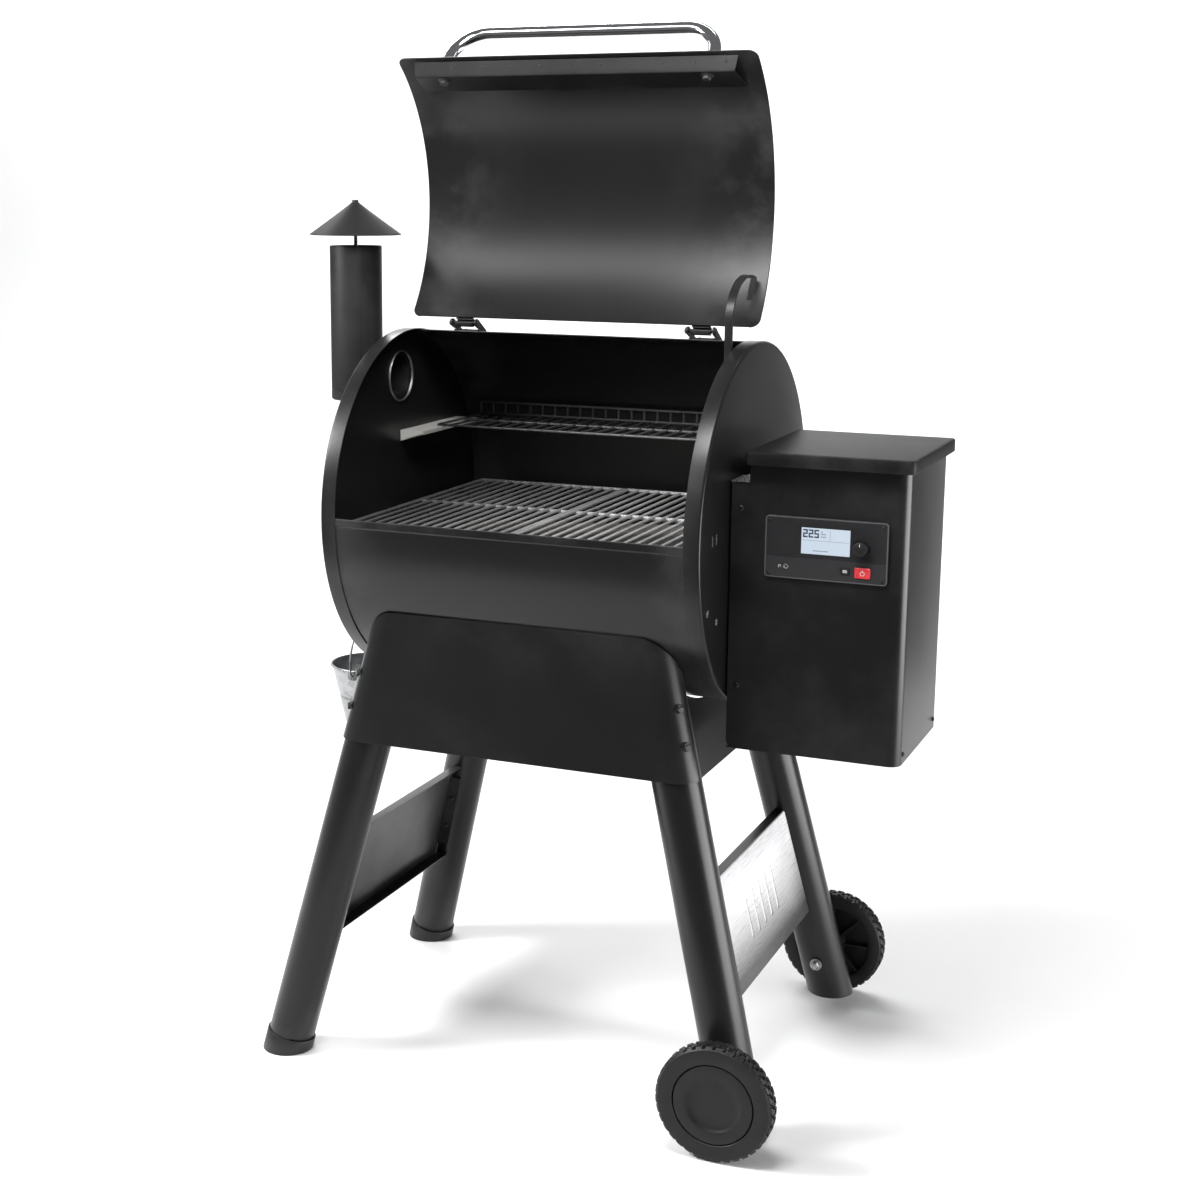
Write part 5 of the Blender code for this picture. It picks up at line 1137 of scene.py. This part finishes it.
def controls():
    """Ribbed knob in its ring, two buttons with generic marks, and the probe socket."""
    place = at(KNOB_X, FACE_Y, KNOB_Z, "y")
    profile = mm((0, -14), (8.5, -14), (9.4, -13.6), (10, -12.6), (10.4, -10), (10.8, -1.4), (10.4, -0.6),
                 (3.6, -0.6), (3.6, 11), (0, 11))

    def ribs(i, k, r):
        return r - 0.0005 if i in (3, 4, 5) and k % 4 < 2 else r

    knob = turned(profile, place, 144, radius_at=ribs)
    make("knob_body", knob, PLASTIC, "control_knob", "control_knob", angle=40)
    pointer = on_face(KNOB_X - 0.0004, KNOB_Z + 0.004, KNOB_X + 0.0004, KNOB_Z + 0.008, -0.01412, -0.0138)
    make("knob_pointer", pointer, INK_LIGHT, "control_knob")
    ring = mm((11.3, 0.8), (11.3, -0.6), (11.8, -1.2), (12.5, -1.0), (12.8, 0.8))
    make("knob_ring", turned(ring, place, 72, closed=True), FASTENER)
    buttons = (("ignite_button", IGNITE_AT, 0.0016, RED), ("menu_button", MENU_AT, 0.0012, PLASTIC))
    for name, box, proud, mat in buttons:
        cap = plate_piece(box, 0.0, 0.001, 5, -proud, 0.0026)
        make(name + "_cap", cap, mat, name, name, bevel=0.0005)
    x, z = (IGNITE_AT[0] + IGNITE_AT[2]) / 2, 0.8376
    mark = collar(0.0026, 0.0034, -0.00012, 0.0002, at(x, FACE_Y - 0.0016, z, "y"), 40)
    mark += on_face(x - 0.0004, z + 0.0008, x + 0.0004, z + 0.0048, -0.00172, -0.0014)
    make("ignite_button_mark", mark, INK_LIGHT, "ignite_button")
    x0, z0, x1, z1 = MENU_AT
    bars = join(on_face(x0 + 0.0032, z, x1 - 0.0032, z + 0.0007, -0.00132, -0.0011)
                for z in steps(z0 + 0.0023, z1 - 0.0029, 2))
    make("menu_button_mark", bars, INK_LIGHT, "menu_button")
    socket = mm((1.6, 0), (1.6, -1), (2.2, -1.6), (3.4, -1.4), (4, -0.6), (4, 0))
    x, z, stroke = 0.39, 0.839, 0.0008
    socket = turned(socket, at(x, FACE_Y + 0.0002, z, "y"), 40, closed=True)
    make("probe_jack_ring", socket, ZINC_FINE)
    left, right, top = x - 0.0112, x - 0.0076, z + 0.0018
    boxes = ((left, z - 0.0022, left + stroke, top), (left + stroke, top - stroke, right, top),
             (right - stroke, z - 0.001, right, top - stroke))
    make("probe_jack_mark", join(on_face(*box, 0.0001, 0.0004) for box in boxes), INK_LIGHT)


# ---- bucket
def bucket():
    """Zinc pail with a pressed groove and a rolled rim, ears, wire bail, and the spout it hangs from."""
    low, top_r, low_r, t = 0.464, 0.068, 0.041, 0.0012
    groove, bead_r = 0.533, 0.0018

    def radius(z):
        return low_r + (top_r - low_r) * (z - low) / (RIM_Z - low)

    outer = [(0, low + 0.004), (low_r - 0.0035, low + 0.004), (low_r - 0.003, low), (low_r, low),
             (radius(low + 0.002), low + 0.002)]
    outer += [(radius(groove + rise) if abs(rise) > 0.002 else radius(groove) - depth, groove + rise)
              for rise, depth in ((-0.004, 0), (-0.0016, 0.001), (0, 0.0014), (0.0016, 0.001), (0.004, 0))]
    outer += [(radius(RIM_Z - 0.005), RIM_Z - 0.005)]
    bead = [(top_r + 0.0006 + bead_r * cos(a), RIM_Z - 0.002 + bead_r * sin(a)) for a in steps(-2.2, 2.6, 12)]
    inner = [(top_r - t, RIM_Z - 0.003), (radius(0.534) - t - 0.0012, groove),
             (radius(low + 0.006) - t, low + 0.006), (0, low + 0.0052)]
    pail = turned(outer + bead + inner, at(BUCKET_X, 0, 0), 96)
    make("bucket_pail", pail, ZINC, "bucket", "bucket", angle=35)
    ear = rounded(BUCKET_X - 0.0075, EAR_Z - 0.008, BUCKET_X + 0.0075, RIM_Z - 0.001, 0.004)
    ears = prism(ear, -0.0712, -0.0692, "y") + prism(ear, 0.0692, 0.0712, "y")
    ears = make("bucket_ears", ears, ZINC, "bucket", bevel=0.0003)
    carve(ears, rod(0.0024, -0.08, 0.08, at(BUCKET_X, 0, EAR_Z, "y"), 20))
    r, inner_r, dip, x, tip = 0.014, 0.0125, 0.003, BUCKET_X, BUCKET_X - 0.012
    wire, reach, bend, saddle = 0.0018, 0.0768, 0.004, 0.0125
    top = DRAIN_Z + r - dip + wire + 0.0006
    shoulder = EAR_Z + 0.018
    half = [(0.0685, EAR_Z), (reach - bend, EAR_Z), *arc(reach - bend, EAR_Z + bend, bend, 270, 360, 6),
            *arc(0, shoulder, reach, 0, 54, 18)]
    path = [(-y, z) for y, z in half] + arc(0, top - saddle, saddle, 150, 30, 18) + half[::-1]
    bail = swept([(BUCKET_X, y, z) for y, z in path], wire, 14)
    make("bucket_bail_wire", bail, ZINC, "bucket_bail", "bucket_bail")
    profile = [(inner_r, -0.296), (r, -0.296), (r, x + 0.005), (r - 0.0006, x + 0.0036),
               (r - dip, x + 0.0028), (r - dip, x - 0.0028), (r - 0.0006, x - 0.0036), (r, x - 0.005),
               (r, tip + 0.0006), (r - 0.0006, tip), (inner_r - 0.0025, tip), (inner_r - 0.0025, x + 0.008),
               (inner_r, x + 0.012)]
    flange = mm((14.2, -302.2), (23, -302.2), (23, -304), (14.2, -304.4))
    spout = join(turned(points, at(0, 0, DRAIN_Z, "x"), 48, closed=True) for points in (profile, flange))
    make("drain_spout_pipe", spout, ZINC, node="drain_spout")


# ---- stage
def softbox(name, place, target, width, height, power):
    """A rectangular lamp that looks at a target."""
    light = bpy.data.lights.new(name, "AREA")
    light.shape = "RECTANGLE"
    light.size, light.size_y = width, height
    light.energy = power
    lamp = show(name, light)
    lamp.location = place
    lamp.rotation_euler = (Vector(target) - Vector(place)).to_track_quat("-Z", "Y").to_euler()
    return lamp


def stage():
    """Pale paper that curves up behind, soft lamps, a dim even sky, and the camera at the photo's place."""
    near, far, rise, bend = -1.35, 5.0, 2.8, 1.2
    left, right, narrow, narrow_from = -7.0, 3.4, 0.95, 1.0
    line = [(near, 0.0), (0.8, 0.0), (2.6, 0.0)]
    line += [(far - bend + bend * sin(a), bend - bend * cos(a)) for a in steps(0.0, pi / 2, 16)]
    line += [(far, rise)]
    points = [(x, y, z - 0.0004) for y, z in line for x in (left, right if y < narrow_from else narrow)]
    mesh = bpy.data.meshes.new("floor")
    mesh.from_pydata(points, [], [(k, k + 1, k + 3, k + 2) for k in range(0, len(points) - 2, 2)])
    mesh.shade_smooth()
    paper = Finish("studio_paper", 0.8)
    mesh.materials.append(paper.done(paper.mix(paper.noise(3.0), (0.86, 0.86, 0.86), (0.88, 0.88, 0.88))))
    show("floor", mesh)
    softbox("light_top_rear", (-2.4, 3.6, 3.9), (0.0, 0.4, 0.0), 3.0, 1.2, 150.0)
    softbox("light_key_left", (-1.7, -2.4, 3.2), (0.0, 0.0, 0.9), 1.5, 0.8, 30.0)
    softbox("light_band_front", (-1.2, -3.6, 3.0), (0.0, 0.0, 1.2), 4.0, 0.6, 21.0)
    softbox("light_barrel", (0.15, -0.85, 2.05), (0.0, 0.05, 0.85), 0.7, 0.35, 23.0)
    softbox("light_floor_left", (-1.9, -1.1, 2.0), (-0.8, -0.6, 0.0), 0.7, 0.7, 78.0)
    softbox("light_right", (3.2, 0.3, 0.45), (0.2, 0.0, 0.45), 2.6, 1.1, 120.0)
    softbox("light_backdrop_left", (-4.8, 1.8, 4.4), (-4.8, 4.8, 1.2), 4.4, 0.8, 140.0)
    softbox("light_backdrop_right", (-0.8, 1.8, 4.4), (-0.8, 4.8, 1.0), 3.0, 0.8, 90.0)
    scene = bpy.context.scene
    scene.world = bpy.data.worlds.new("studio")
    scene.world.use_nodes = True
    sky = scene.world.node_tree.nodes["Background"]
    sky.inputs["Color"].default_value = (0.97, 0.98, 1.0, 1.0)
    sky.inputs["Strength"].default_value = 0.16
    camera = bpy.data.cameras.new("camera")
    camera.lens, camera.sensor_width = 57.858, 36.0
    camera.shift_x, camera.shift_y = 0.06854, -0.02714
    camera.clip_end = 60.0
    pan, dip, roll = (radians(a) for a in (23.78, 11.286, 0.22))
    scene.camera = show("camera", camera)
    scene.camera.matrix_world = (Matrix.Translation((1.073, -2.7885, 1.3783)) @ Matrix.Rotation(pan, 4, "Z")
                                 @ Matrix.Rotation(pi / 2 - dip, 4, "X") @ Matrix.Rotation(roll, 4, "Z"))
    scene.view_settings.view_transform = "Standard"


# ---- put it together
slot_of_node = {part["node"]: part["material_slot"] for part in frame["record"]["subparts"]}
for name, node in frame["nodes"].items():
    node.data.materials.clear()
    node.data.materials.append(SLOTS[slot_of_node[name]][0])

barrel()
opening_hems()
lid()
lid_front()
stop_arm()
hinges()
chimney()
legs()
aprons()
side_panels()
braces()
for word, side in ENDS:
    wheel(word, side)
grates()
rack()
rack_brackets()
hopper()
hopper_lid()
controller()
screen()
controls()
bucket()
stage()

bpy.context.view_layer.update()
